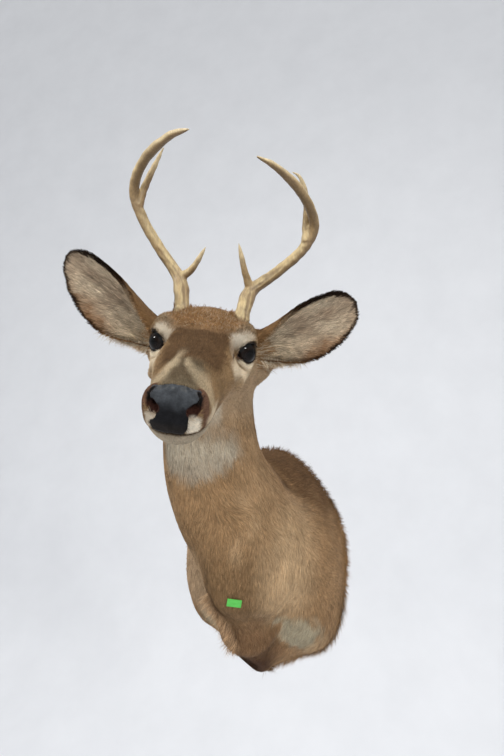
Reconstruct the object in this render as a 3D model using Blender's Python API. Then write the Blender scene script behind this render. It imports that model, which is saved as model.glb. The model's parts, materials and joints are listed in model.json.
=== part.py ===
"""White-tailed deer shoulder mount, life size, hung on a wall by its back board.

Frame: metres, +Z up, the wall is the plane y = 0, the deer reaches out to -Y.
+X is the deer's left.  The head has a frame of its own, in millimetres:
(left, forward along the bridge of the nose, up), measured from midway between the eyes.
The hide is one implicit surface taken at the tips of the hair; it is meshed and then
divided into head, lower jaw, nose pad, neck, trunk and two foreleg stumps.
"""
import bmesh
import bpy
import numpy as np
from mathutils import Vector

# ---- driving dimensions, metres unless a name says mm ---------------------------
GAP = 0.0003                 # clearance between neighbouring solids
BODY_CELL = 0.0200           # facet size on trunk and neck
HEAD_CELL = 0.0126           # facet size on the head
BACK_FACE = -0.003           # rear edge of the hide, just off the wall
BOARD_THICK = 0.018
BOARD_INSET = 0.016          # board outline inside the hide's outline at the wall
EYE_RADIUS_MM = 17.5
EYE_CENTRE_MM = (48.0, -6.0, 1.0)
EYE_LOOK = (0.78, 0.60, 0.14)
EYE_OPENING_MM = (15.5, 12.0)    # half length and half height between the lids
EAR_THICK_MM = 7.0
TAG_SIZE = (0.018, 0.011, 0.0008)

EYE_MID = np.array([0.0, -0.360, 0.249])
NOSE_DIRECTION = np.array([0.171, -0.785, -0.596])
LEFT_DIRECTION = np.array([0.952, 0.288, -0.106])

NECK_TOP = np.array([-0.030, -0.262, 0.262])
NECK_LOW = np.array([0.0, -0.135, -0.020])

# planes that divide the hide: a point and the normal towards the rear part
HEAD_PLANE = (np.array([-0.030, -0.222, 0.222]), np.array([0.05, 0.65, -0.76]))
TRUNK_PLANE = (np.array([0.0, -0.170, 0.070]), np.array([0.0, 0.80, -0.60]))
LEG_INNER_X = 0.046
LEG_TOP_Z = (-0.088, -0.066)     # left stump, right stump

# stations along the head, mm: forward, top, bottom, half width high up, at mid height, low down
HEAD_STATIONS = np.array([
    (-120, 2, -84, 30, 44, 34),
    (-90, 22, -92, 40, 56, 44),
    (-60, 36, -95, 47, 66, 48),
    (-30, 38, -90, 51, 67, 40),
    (0, 32, -80, 51, 61, 31),
    (30, 27, -66, 43, 53, 26),
    (60, 25, -56, 34, 46, 22),
    (90, 25, -50, 27, 40, 24),
    (120, 25, -47, 23, 35, 24),
    (148, 25, -46, 21, 32, 23),
    (172, 24, -38, 20, 28, 17),
    (190, 20, -28, 17, 22, 12),
], float)

# stations down the neck: distance, side offset, forward offset, half width, reach in front, behind
NECK_STATIONS = np.array([
    (-0.050, 0.000, -0.008, 0.044, 0.046, 0.038),
    (0.000, 0.000, 0.000, 0.054, 0.058, 0.052),
    (0.068, -0.008, 0.015, 0.062, 0.064, 0.068),
    (0.134, -0.011, 0.026, 0.067, 0.068, 0.086),
    (0.184, -0.006, 0.021, 0.073, 0.078, 0.100),
    (0.245, 0.001, 0.008, 0.075, 0.090, 0.105),
    (0.289, 0.004, 0.000, 0.073, 0.097, 0.105),
    (0.340, 0.006, 0.000, 0.071, 0.100, 0.105),
])

# antlers, head mm, from the skull outwards; the radius runs from first to last
ANTLERS = {
    "left": {
        "beam": [(38, -50, 16), (42, -62, 38), (48, -84, 58), (77, -96, 83), (105, -103, 113),
                 (117, -103, 142), (107, -90, 169), (84, -66, 194), (57, -40, 211), (37, -24, 218)],
        "brow": [(47, -84, 59), (37, -81, 82), (25, -78, 118)],
        "second": [(111, -104, 126), (107, -111, 147), (102, -116, 179), (91, -114, 201),
                   (79, -110, 207)],
        "second_at": 0.50,
    },
    "right": {
        "beam": [(-36, -50, 14), (-38, -62, 36), (-48, -84, 62), (-77, -96, 94), (-103, -103, 129),
                 (-115, -102, 163), (-98, -84, 200), (-64, -53, 227), (-36, -24, 236)],
        "brow": [(-47, -84, 63), (-31, -81, 77), (-15, -78, 108)],
        "second": [(-110, -104, 144), (-102, -113, 172), (-88, -114, 204), (-81, -110, 217)],
        "second_at": 0.50,
    },
}
FORK_AT = 0.14                 # share of the beam's length at the brow fork
BEAM_RADII_MM = [(0.0, 9.2), (0.08, 10.0), (0.14, 9.6), (0.22, 8.2), (0.32, 7.5), (0.55, 7.0),
                 (0.80, 6.1), (0.93, 4.0), (1.0, 1.4)]
TINE_RADII_MM = [(0.0, 5.8), (0.3, 5.1), (0.7, 3.8), (0.92, 2.1), (1.0, 1.0)]

# ears, head mm: root, tip, and which way the cup opens
EARS = {
    "left": {"root": (62, -62, -5), "tip": (178, -60, 65), "open": (0.12, 0.97, -0.10),
             "bow": 4.0, "girth": 1.0},
    "right": {"root": (-62, -62, -4), "tip": (-182, -60, 77), "open": (-0.30, 0.94, -0.14),
              "bow": 1.5, "girth": 1.13},
}
# along the ear: share of length, radius of the cup, half angle of the cup in degrees
EAR_PROFILE = [(0.0, 17, 150), (0.12, 20, 125), (0.25, 26, 100), (0.40, 35, 76), (0.55, 43, 59),
               (0.70, 46, 49), (0.83, 47, 39), (0.92, 44, 28), (0.975, 40, 17), (1.0, 38, 8)]


# ---- head frame ---------------------------------------------------------------------
def unit(v):
    v = np.asarray(v, float)
    return v/np.linalg.norm(v)


def head_axes():
    forward = unit(NOSE_DIRECTION)
    left = unit(LEFT_DIRECTION-forward*(forward@LEFT_DIRECTION))
    up = np.cross(left, forward)
    return np.stack([left, forward, up if up[2] > 0 else -up], 1)


HEAD_AXES = head_axes()


def from_head(p):
    """Head millimetres to metres in the object's frame."""
    return EYE_MID+np.asarray(p, float) @ HEAD_AXES.T/1000


def to_head(p):
    return (p-EYE_MID) @ HEAD_AXES*1000


# ---- implicit shapes ------------------------------------------------------------------
def blend(a, b, k):
    """Union of two fields with a fillet of about k."""
    h = np.maximum(k-np.abs(a-b), 0)/k
    return np.minimum(a, b)-h*h*h*k/6


def trim(a, b, k):
    """Intersection of two fields with its edge rounded by about k."""
    return -blend(-a, -b, k)


def ellipsoid(p, centre, radii):
    q = p-np.asarray(centre, float)
    r = np.asarray(radii, float)
    k0 = np.linalg.norm(q/r, axis=-1)
    k1 = np.linalg.norm(q/(r*r), axis=-1)
    return k0*(k0-1)/np.maximum(k1, 1e-9)


def capsule(p, a, b, ra, rb):
    """Rounded cone from a to b."""
    a = np.asarray(a, float)
    ab = np.asarray(b, float)-a
    t = np.clip((p-a) @ ab/(ab @ ab), 0, 1)
    return np.linalg.norm(p-a-t[..., None]*ab, axis=-1)-(ra+(rb-ra)*t)


def along(x, xs, ys):
    """Smooth monotone curve through the stations, flat beyond the ends."""
    xs = np.asarray(xs, float)
    ys = np.asarray(ys, float)
    h = np.diff(xs)
    s = np.diff(ys)/h
    m = np.zeros_like(ys)
    same = s[:-1]*s[1:] > 0
    total = np.where(same, s[:-1]+s[1:], 1.0)
    m[1:-1] = np.where(same, 2*s[:-1]*s[1:]/total, 0)
    m[0] = s[0]
    m[-1] = s[-1]
    x = np.clip(x, xs[0], xs[-1])
    i = np.clip(np.searchsorted(xs, x, side="right")-1, 0, len(xs)-2)
    t = (x-xs[i])/h[i]
    return ((2*t**3-3*t**2+1)*ys[i]+(t**3-2*t**2+t)*h[i]*m[i]
            + (-2*t**3+3*t**2)*ys[i+1]+(t**3-t**2)*h[i]*m[i+1])


def head_field(p):
    h = to_head(p)
    side = h.copy()
    side[..., 0] = np.abs(side[..., 0])
    l, f, u = side[..., 0], side[..., 1], side[..., 2]
    stations = HEAD_STATIONS.T
    top, bottom, high, middle, low = (along(f, stations[0], row) for row in stations[1:])
    half = (top-bottom)/2
    v = np.clip((u-(top+bottom)/2)/half, -1.3, 1.3)
    width = middle+(high-low)*0.45*v+((high+low)/2-middle)*v*v*0.9
    d = ((l/width)**2.5+np.abs(v)**2.5)**0.4-1
    d = d*np.minimum(width, half)*0.95
    d = trim(d, f-181, 26)
    d = trim(d, -112-f, 40)
    d = blend(d, ellipsoid(side, (46, -18, 12), (19, 27, 21)), 16)     # brow and orbit
    d = d+6.0*np.exp(-((f-24)/13)**2-((u-2)/14)**2)*np.clip((l-26)/16, 0, 1)    # before the eye
    d = blend(d, ellipsoid(side, (38, -42, -44), (20, 44, 42)), 20)    # cheek
    d = blend(d, capsule(side, (53, -50, -8), (48, 40, -24), 10.0, 6.5), 14)    # cheekbone
    d = blend(d, ellipsoid(side, (20, 164, 5), (10, 15, 14)), 10)      # nostril wing
    d = blend(d, ellipsoid(side, (62, -64, -6), (19, 19, 20)), 18)     # root of the ear
    d = blend(d, ellipsoid(h, (69, -60, -31), (20, 18, 25)), 20)       # below the left ear
    d = blend(d, ellipsoid(h, (-65, -60, -33), (15, 18, 22)), 20)      # below the right ear
    d = blend(d, capsule(side, (36, -52, 14), (41, -60, 27), 12.0, 9.5), 12)    # pedicle
    return d/1000


def neck_field(p):
    axis = unit(NECK_LOW-NECK_TOP)
    side = unit(np.array([1.0, 0, 0])-axis*axis[0])
    front = np.cross(side, axis)
    front = front if front[1] < 0 else -front
    length = np.linalg.norm(NECK_LOW-NECK_TOP)
    q = p-NECK_TOP
    t = q @ axis
    rows = NECK_STATIONS.T
    sideways, forwards, width, before, behind = (along(t, rows[0], row) for row in rows[1:])
    s = q @ side-sideways
    n = q @ front-forwards
    reach = np.where(n > 0, before, behind)
    keel = along(t, [0.16, 0.24, 0.32], [0.0, 0.2, 0.45])
    width = width*(1-keel*np.clip(n/before, 0, 1))
    d = (np.sqrt((s/width)**2+(n/reach)**2)-1)*np.minimum(width, reach)
    d = trim(d, -0.045-t, 0.07)
    return trim(d, t-(length-0.01), 0.06)


def body_field(p):
    side = p.copy()
    side[..., 0] = np.abs(side[..., 0])
    d = ellipsoid(p, (0.003, 0.03, -0.015), (0.124, 0.17, 0.165))            # barrel
    d = blend(d, ellipsoid(side, (0.058, -0.045, 0.00), (0.060, 0.105, 0.10)), 0.06)
    stumps = np.minimum(ellipsoid(p, (0.074, 0.0, -0.072), (0.049, 0.125, 0.082)),
                        ellipsoid(p, (-0.066, 0.0, -0.042), (0.052, 0.120, 0.078)))
    d = blend(d, stumps, 0.035)
    d = blend(d, ellipsoid(side, (0.0, 0.02, 0.092), (0.066, 0.15, 0.074)), 0.06)   # withers
    d = blend(d, ellipsoid(p, (0.010, -0.145, 0.004), (0.060, 0.102, 0.090)), 0.035)   # breast
    keel = np.minimum(capsule(p, (0, -0.180, -0.030), (0, -0.128, -0.098), 0.040, 0.042),
                      capsule(p, (0, -0.128, -0.098), (-0.004, -0.030, -0.170), 0.042, 0.015))
    return blend(d, keel, 0.040)


def hide_field(p):
    crease = np.clip((-p[..., 0]-0.015)/0.03, 0, 1)*np.clip((0.07-p[..., 2])/0.06, 0, 1)
    d = blend(body_field(p), neck_field(p), 0.09-0.065*crease)
    return blend(d, head_field(p), 0.030)


# ---- meshing ------------------------------------------------------------------------
def surface_nets(field, low, high, cell):
    """Quads on the zero surface of a field, one vertex per cell that the surface crosses."""
    low = np.asarray(low, float)
    count = np.ceil((np.asarray(high)-low)/cell).astype(int)+1
    axes = [low[i]+cell*np.arange(count[i]) for i in range(3)]
    value = field(np.stack(np.meshgrid(*axes, indexing="ij"), -1))
    inside = value < 0
    corners = [(a, b, c) for a in (0, 1) for b in (0, 1) for c in (0, 1)]
    total = np.zeros(tuple(count-1), int)
    for c in corners:
        total += inside[tuple(slice(c[i], count[i]-1+c[i]) for i in range(3))]
    crossed = (total > 0) & (total < 8)
    index = -np.ones(crossed.shape, int)
    index[crossed] = np.arange(crossed.sum())
    cells = np.argwhere(crossed)
    place = np.zeros((len(cells), 3))
    hits = np.zeros(len(cells))
    for a in corners:
        for k in range(3):
            if a[k]:
                continue
            step = np.eye(3, dtype=int)[k]
            va = value[tuple((cells+a).T)]
            vb = value[tuple((cells+a+step).T)]
            hit = (va < 0) != (vb < 0)
            t = np.where(hit, va/np.where(hit, va-vb, 1.0), 0)
            place[hit] += (np.array(a, float)+t[:, None]*step)[hit]
            hits += hit
    verts = low+cell*(cells+place/hits[:, None])
    quads = []
    for k in range(3):
        i, j = [(1, 2), (2, 0), (0, 1)][k]
        step = np.eye(3, dtype=int)[k]
        here = inside[tuple(slice(0, count[m]-step[m]) for m in range(3))]
        there = inside[tuple(slice(step[m], count[m]) for m in range(3))]
        edge = np.argwhere(here != there)
        edge = edge[(edge[:, i] > 0) & (edge[:, j] > 0)
                    & (edge[:, i] < count[i]-1) & (edge[:, j] < count[j]-1)]
        ring = []
        for di, dj in ((-1, -1), (0, -1), (0, 0), (-1, 0)):
            c = edge.copy()
            c[:, i] += di
            c[:, j] += dj
            ring.append(index[tuple(c.T)])
        ring = np.stack(ring, 1)
        turned = ~here[tuple(edge.T)]
        ring[turned] = ring[turned][:, ::-1]
        quads.append(ring)
    return verts, np.concatenate(quads)


def settle(field, verts):
    """Move vertices onto the zero surface along its gradient."""
    for _ in range(3):
        slope = np.stack([(field(verts+e)-field(verts-e))/0.001
                          for e in np.eye(3)*0.0005], -1)
        size = np.maximum((slope*slope).sum(-1), 0.05)
        verts = verts-(field(verts)/size)[:, None]*slope
    return verts


def new_object(name, verts, faces):
    mesh = bpy.data.meshes.new(name)
    mesh.from_pydata([tuple(map(float, v)) for v in verts], [], [tuple(map(int, f)) for f in faces])
    ob = bpy.data.objects.new(name, mesh)
    bpy.context.scene.collection.objects.link(ob)
    with_mesh(ob, lambda bm: bmesh.ops.recalc_face_normals(bm, faces=bm.faces[:]))
    return ob


def with_mesh(ob, work):
    bm = bmesh.new()
    bm.from_mesh(ob.data)
    work(bm)
    bmesh.ops.triangulate(bm, faces=bm.faces[:])
    bm.to_mesh(ob.data)
    bm.free()


def slice_at(ob, point, normal):
    """Cut flat at a plane, keep the part behind the normal, close the cut."""
    def work(bm):
        bmesh.ops.bisect_plane(bm, geom=bm.verts[:]+bm.edges[:]+bm.faces[:], dist=1e-6,
                               plane_co=Vector(point), plane_no=Vector(normal), clear_outer=True)
        bmesh.ops.holes_fill(bm, edges=[e for e in bm.edges if e.is_boundary])
        bmesh.ops.recalc_face_normals(bm, faces=bm.faces[:])
    with_mesh(ob, work)


def combine(ob, cutter, operation):
    """Apply a Boolean between two solids to the first."""
    mod = ob.modifiers.new("cut", "BOOLEAN")
    mod.operation = operation
    mod.solver = "EXACT"
    mod.object = cutter
    bpy.context.view_layer.update()
    result = bpy.data.meshes.new_from_object(ob.evaluated_get(bpy.context.evaluated_depsgraph_get()))
    ob.modifiers.clear()
    ob.data = result
    with_mesh(ob, lambda bm: None)


def copy_of(ob, name):
    twin = bpy.data.objects.new(name, ob.data.copy())
    bpy.context.scene.collection.objects.link(twin)
    return twin


def discard(*obs):
    for ob in obs:
        bpy.data.objects.remove(ob, do_unlink=True)


def box(name, low, high, place=lambda p: p):
    """Box between two corners, its corners passed through place."""
    verts = [place(np.array([x, y, z], float)) for x in (low[0], high[0])
             for y in (low[1], high[1]) for z in (low[2], high[2])]
    faces = [(0, 1, 3, 2), (4, 6, 7, 5), (0, 4, 5, 1), (2, 3, 7, 6), (0, 2, 6, 4), (1, 5, 7, 3)]
    return new_object(name, verts, faces)


def head_wedge(name, low, high, slope, grow=0.0):
    """Box in head millimetres whose height shears forward by slope, grown on every side."""
    low = np.asarray(low, float)-grow
    high = np.asarray(high, float)+grow

    def place(p):
        return from_head((p[0], p[1], p[2]+slope*(p[1]-120)))
    return box(name, low, high, place)


# ---- swept tubes --------------------------------------------------------------------
def smooth_path(points, count):
    """Catmull-Rom curve through the points, evenly spaced along its length."""
    p = np.asarray(points, float)
    p = np.vstack([2*p[0]-p[1], p, 2*p[-1]-p[-2]])
    fine = []
    for i in range(1, len(p)-2):
        t = np.linspace(0, 1, 24, endpoint=False)[:, None]
        a, b, c, d = p[i-1:i+3]
        fine.append(0.5*(2*b+(c-a)*t+(2*a-5*b+4*c-d)*t**2+(3*b-a-3*c+d)*t**3))
    fine = np.vstack(fine+[p[-2][None]])
    run = np.concatenate([[0], np.cumsum(np.linalg.norm(np.diff(fine, axis=0), axis=1))])
    want = np.linspace(0, run[-1], count)
    return np.stack([np.interp(want, run, fine[:, k]) for k in range(3)], 1)


def tube(name, path, radii, sides):
    """Closed tube along a path, its end faces square to the path."""
    tangent = np.gradient(path, axis=0)
    tangent /= np.linalg.norm(tangent, axis=1)[:, None]
    across = unit(np.cross(tangent[0], (0.3, 0.2, 0.9)))
    verts = []
    for p, t, r in zip(path, tangent, radii):
        across = unit(across-t*(across @ t))
        other = np.cross(t, across)
        for k in range(sides):
            a = 2*np.pi*k/sides
            verts.append(p+r*(np.cos(a)*across+np.sin(a)*other))
    faces = [tuple(range(sides))]
    for i in range(len(path)-1):
        for k in range(sides):
            n = (k+1) % sides
            faces.append((i*sides+k, i*sides+n, (i+1)*sides+n, (i+1)*sides+k))
    faces.append(tuple(range((len(path)-1)*sides, len(path)*sides)))
    return new_object(name, verts, faces)


def radius_at(share, table):
    return np.interp(share, [row[0] for row in table], [row[1] for row in table])/1000


def path_piece(path, start, stop):
    """Part of an evenly spaced path between two shares of its length."""
    share = np.linspace(0, 1, len(path))
    keep = np.concatenate([[start], share[(share > start+0.008) & (share < stop-0.008)], [stop]])
    return keep, np.stack([np.interp(keep, share, path[:, k]) for k in range(3)], 1)


def antler(side, solids):
    """Five solids a side: base, beam, tip, brow tine and second tine."""
    spec = ANTLERS[side]
    path = from_head(smooth_path(spec["beam"], 34))
    length = np.linalg.norm(np.diff(path, axis=0), axis=1).sum()
    gap = GAP/length/2
    share = np.linspace(0, 1, len(path))
    sleeve = tube("sleeve", path, radius_at(share, BEAM_RADII_MM)+GAP, 12)
    cuts = [0.0, FORK_AT, spec["second_at"], 1.0]
    for part, start, stop in zip(("base", "beam", "tip"), cuts[:-1], cuts[1:]):
        keep, run = path_piece(path, start+gap*(start > 0), stop-gap*(stop < 1))
        solids["antler_%s_%s" % (side, part)] = tube("antler_%s_%s" % (side, part), run,
                                                     radius_at(keep, BEAM_RADII_MM), 8)
    for part, key in (("brow_tine", "brow"), ("second_tine", "second")):
        run = from_head(smooth_path(spec[key], 9))
        name = "antler_%s_%s" % (side, part)
        tine = tube(name, run, radius_at(np.linspace(0, 1, len(run)), TINE_RADII_MM), 7)
        combine(tine, sleeve, "DIFFERENCE")
        solids[name] = largest_part(tine)
    discard(sleeve)


def largest_part(ob):
    """Keep the biggest connected piece of a mesh."""
    bm = bmesh.new()
    bm.from_mesh(ob.data)
    left = set(bm.verts)
    pieces = []
    while left:
        stack = [left.pop()]
        piece = list(stack)
        while stack:
            for e in stack.pop().link_edges:
                for v in e.verts:
                    if v in left:
                        left.remove(v)
                        stack.append(v)
                        piece.append(v)
        pieces.append(piece)
    pieces.sort(key=len)
    for piece in pieces[:-1]:
        bmesh.ops.delete(bm, geom=piece, context="VERTS")
    bm.to_mesh(ob.data)
    bm.free()
    return ob


def ear(side):
    """Cupped ear as a thick shell: a closed horn at the root, opening to a leaf with a blunt tip."""
    spec = EARS[side]
    root = np.array(spec["root"], float)
    tip = np.array(spec["tip"], float)
    axis = unit(tip-root)
    opening = np.array(spec["open"], float)
    opening = unit(opening-axis*(opening @ axis))
    across = np.cross(axis, opening)
    across = across if across[2] > 0 else -across
    table = np.array(EAR_PROFILE, float).T
    verts = []
    rows = np.array([0.0, 0.08, 0.16, 0.25, 0.35, 0.45, 0.55, 0.65, 0.75, 0.84, 0.92, 0.97, 1.0])
    columns = 7
    for s in rows:
        r = along(s, table[0], table[1])*(1+(spec["girth"]-1)*np.sin(np.pi*s))
        a = np.radians(along(s, table[0], table[2]))
        spine = root+(tip-root)*s-across*spec["bow"]*np.sin(np.pi*s)
        thick = EAR_THICK_MM*(1-0.45*s)
        angles = np.linspace(-a, a, columns)
        for grow, sweep in ((thick/2, angles), (-thick/2, angles[::-1])):
            for t in sweep:
                verts.append(from_head(spine+across*(r+grow)*np.sin(t)
                                       + opening*(r-(r+grow)*np.cos(t))))
    ring = 2*columns
    faces = [tuple(range(ring))]
    for i in range(len(rows)-1):
        for k in range(ring):
            n = (k+1) % ring
            faces.append((i*ring+k, i*ring+n, (i+1)*ring+n, (i+1)*ring+k))
    faces.append(tuple(range((len(rows)-1)*ring, len(rows)*ring)))
    return new_object("ear_"+side, verts, faces)


def ball(name, centre, radius, detail=2):
    ob = new_object(name, [(0, 0, 0), (1, 0, 0), (0, 1, 0)], [(0, 1, 2)])
    bm = bmesh.new()
    bmesh.ops.create_icosphere(bm, subdivisions=detail, radius=radius)
    bmesh.ops.translate(bm, verts=bm.verts[:], vec=Vector(centre))
    bm.to_mesh(ob.data)
    bm.free()
    return ob


def lid_opening(name, side):
    """Almond prism that opens the lids outwards from the eyeball."""
    mirror = np.array([side, 1, 1])
    look = unit(EYE_LOOK)
    centre = np.array(EYE_CENTRE_MM)
    rise = unit(np.array([0, 0, 1.0])-look*look[2])
    length = np.cross(look, rise)
    verts = []
    for reach in (4.0, 40.0):
        for k in range(16):
            a = 2*np.pi*k/16
            wide = EYE_OPENING_MM[0]*np.cos(a)
            high = EYE_OPENING_MM[1]*np.sin(a)*(1-0.25*np.cos(a)**2)
            spread = 1+0.012*(reach-4)
            verts.append(from_head((centre+look*reach+(length*wide+rise*high)*spread)*mirror))
    faces = [tuple(range(16)), tuple(range(16, 32))]
    faces += [(k, (k+1) % 16, 16+(k+1) % 16, 16+k) for k in range(16)]
    return new_object(name, verts, faces)


def back_outline(inset, count=40):
    """Outline of the hide at the wall, drawn in by the inset, as (x, z) pairs."""
    pairs = []
    for k in range(count):
        a = 2*np.pi*k/count
        out = np.array([np.cos(a), 0, np.sin(a)])
        reach = np.linspace(0.02, 0.25, 461)
        d = hide_field(np.array([0, -0.010, 0])+out*reach[:, None])
        edge = reach[np.nonzero(d > 0)[0][0]]
        pairs.append(((edge-inset)*out[0], (edge-inset)*out[2]))
    return pairs


def plate(name, outline, near, far):
    n = len(outline)
    verts = [(x, y, z) for y in (near, far) for x, z in outline]
    faces = [tuple(range(n)), tuple(range(n, 2*n))]
    faces += [(k, (k+1) % n, n+(k+1) % n, n+k) for k in range(n)]
    return new_object(name, verts, faces)


# ---- materials ------------------------------------------------------------------------
def material(name, colour, roughness, metallic=0.0):
    mat = bpy.data.materials.new(name)
    mat.use_nodes = True
    shader = mat.node_tree.nodes["Principled BSDF"]
    shader.inputs["Base Color"].default_value = (*colour, 1.0)
    shader.inputs["Roughness"].default_value = roughness
    shader.inputs["Metallic"].default_value = metallic
    return mat


LOOKS = {
    "head": ((0.22, 0.15, 0.09), 0.9), "lower_jaw": ((0.75, 0.70, 0.60), 0.9),
    "nose_pad": ((0.03, 0.03, 0.035), 0.35), "neck": ((0.33, 0.23, 0.13), 0.9),
    "trunk": ((0.30, 0.19, 0.10), 0.9), "foreleg": ((0.34, 0.23, 0.12), 0.9),
    "ear": ((0.40, 0.32, 0.22), 0.9), "eye": ((0.01, 0.008, 0.006), 0.05),
    "antler": ((0.48, 0.34, 0.16), 0.45), "back_board": ((0.42, 0.28, 0.15), 0.7),
    "hanger": ((0.55, 0.55, 0.56), 0.35), "price_tag": ((0.10, 0.80, 0.15), 0.6),
}


def paint(solids):
    for name, ob in solids.items():
        key = next(k for k in LOOKS if name.startswith(k))
        metal = 1.0 if key == "hanger" else 0.0
        ob.name = name
        ob.data.name = name
        ob.data.shade_smooth()
        ob.data.set_sharp_from_angle(angle=np.radians(50))
        ob.data.materials.clear()
        ob.data.materials.append(material(name, *LOOKS[key], metal))


# ---- the mount --------------------------------------------------------------------------
def hide_solids():
    """Trunk, neck and head cut from the hide at two planes."""
    def rear(p):
        point, normal = HEAD_PLANE
        clipped = np.maximum(hide_field(p), -(p-point) @ unit(normal)-0.03)
        return np.maximum(clipped, p[..., 1]-0.03)

    def fore(p):
        point, normal = HEAD_PLANE
        return np.maximum(hide_field(p), (p-point) @ unit(normal)-0.02)
    verts, faces = surface_nets(rear, (-0.19, -0.42, -0.24), (0.19, 0.07, 0.36), BODY_CELL)
    verts = settle(rear, verts)
    trunk = new_object("trunk", verts, faces)
    neck = copy_of(trunk, "neck")
    verts, faces = surface_nets(fore, (-0.14, -0.56, 0.06), (0.16, -0.12, 0.36), HEAD_CELL)
    head = new_object("head", settle(fore, verts), faces)
    slice_at(trunk, (0, BACK_FACE, 0), (0, 1, 0))
    for ob, (point, normal), way in ((trunk, TRUNK_PLANE, -1), (neck, TRUNK_PLANE, 1),
                                     (neck, HEAD_PLANE, -1), (head, HEAD_PLANE, 1)):
        normal = unit(normal)
        slice_at(ob, point-way*normal*GAP/2, way*normal)
    return trunk, neck, head


def grown(ob, name, amount):
    """Copy of a solid with its surface moved out by an amount."""
    twin = copy_of(ob, name)
    bm = bmesh.new()
    bm.from_mesh(twin.data)
    bm.normal_update()
    shift = {v: v.normal.copy() for v in bm.verts}
    for v, n in shift.items():
        v.co += n*amount
    bm.to_mesh(twin.data)
    bm.free()
    return twin


def build():
    solids = {}
    trunk, neck, head = hide_solids()

    # back board let into the trunk, with a saw-tooth hanger let into the board
    outline = back_outline(BOARD_INSET)
    pocket = plate("pocket", back_outline(BOARD_INSET-GAP), -BOARD_THICK-GAP, 0.02)
    combine(trunk, pocket, "DIFFERENCE")
    board = plate("back_board", outline, -BOARD_THICK, 0.0)
    slot = box("slot", (-0.022, -0.004, 0.080), (0.022, 0.01, 0.104))
    combine(board, slot, "DIFFERENCE")
    teeth = [(0.0190-0.0380*k/18, 0.0860+0.0022*(k % 2)) for k in range(19)]
    hanger = plate("hanger", [(-0.021, 0.0980), (0.021, 0.0980), (0.021, 0.0870)] + teeth
                   + [(-0.021, 0.0870)], -0.0037, -0.0022)
    discard(pocket, slot)

    # foreleg stumps
    for side, name in ((1, "foreleg_left"), (-1, "foreleg_right")):
        top = LEG_TOP_Z[0 if side > 0 else 1]
        inner, outer = sorted((side*LEG_INNER_X, side*0.3))
        cutter = box("cutter", (inner, -0.3, -0.4), (outer, 0.1, top))
        stump = copy_of(trunk, name)
        combine(stump, cutter, "INTERSECT")
        wide = box("wide", (inner-GAP, -0.31, -0.41), (outer+GAP, 0.11, top+GAP))
        combine(trunk, wide, "DIFFERENCE")
        solids[name] = largest_part(stump)
        discard(cutter, wide)

    # ears and antlers stop on the head's surface
    skull = grown(head, "skull", GAP)
    for side in ("left", "right"):
        shell = ear(side)
        combine(shell, skull, "DIFFERENCE")
        solids["ear_"+side] = largest_part(shell)
        antler(side, solids)
        base = solids["antler_%s_base" % side]
        combine(base, skull, "DIFFERENCE")
        largest_part(base)
    discard(skull)

    # eyeballs behind almond openings
    for side, name in ((1, "eye_left"), (-1, "eye_right")):
        centre = from_head(np.array(EYE_CENTRE_MM)*(side, 1, 1))
        socket = ball("socket", centre, EYE_RADIUS_MM/1000+GAP, 3)
        lids = lid_opening("lids", side)
        combine(head, socket, "DIFFERENCE")
        combine(head, lids, "DIFFERENCE")
        largest_part(head)
        solids[name] = ball(name, centre, EYE_RADIUS_MM/1000, 3)
        discard(socket, lids)

    # nose pad and lower jaw
    gap_mm = GAP*1000
    for name, low, high, slope in (("nose_pad", (-60, 166, -12), (60, 230, 60), 0.0),
                                   ("lower_jaw", (-80, 48, -120), (80, 230, -33), 0.21)):
        cutter = head_wedge("cutter", low, high, slope)
        piece = copy_of(head, name)
        combine(piece, cutter, "INTERSECT")
        wide = head_wedge("wide", low, high, slope, gap_mm)
        combine(head, wide, "DIFFERENCE")
        solids[name] = largest_part(piece)
        discard(cutter, wide)

    # sale tag on the chest, lying on the hair
    centre = np.array([0.0125, -0.235, -0.038])
    centre = settle(hide_field, centre[None])[0]
    slope = unit([float(hide_field(centre[None]+e)[0]-hide_field(centre[None]-e)[0])
                  for e in np.eye(3)*0.001])
    across = unit(np.cross((0.12, 0, 1), slope))
    upward = np.cross(slope, across)

    def on_chest(p):
        return centre+slope*(p[2]+0.0030)+across*p[0]+upward*p[1]
    half = np.array(TAG_SIZE)/2
    solids["price_tag"] = box("price_tag", -half, half, on_chest)

    solids.update({"trunk": trunk, "neck": neck, "head": head, "back_board": board, "hanger": hanger})
    paint(solids)


for old in list(bpy.data.objects):
    bpy.data.objects.remove(old, do_unlink=True)
build()
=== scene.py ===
"""White-tailed deer shoulder mount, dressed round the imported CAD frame.

One skin, cut from the same implicit hide as the solids but drawn in by the depth of the
coat, carries joined tufts of solid hair.  Head millimetres are (left, forward, up) from
midway between the eyes; everything else is in metres in the object's frame, wall at y = 0.
"""
import json
import bmesh
import bpy
import numpy as np
from mathutils import Matrix, Vector

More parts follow.
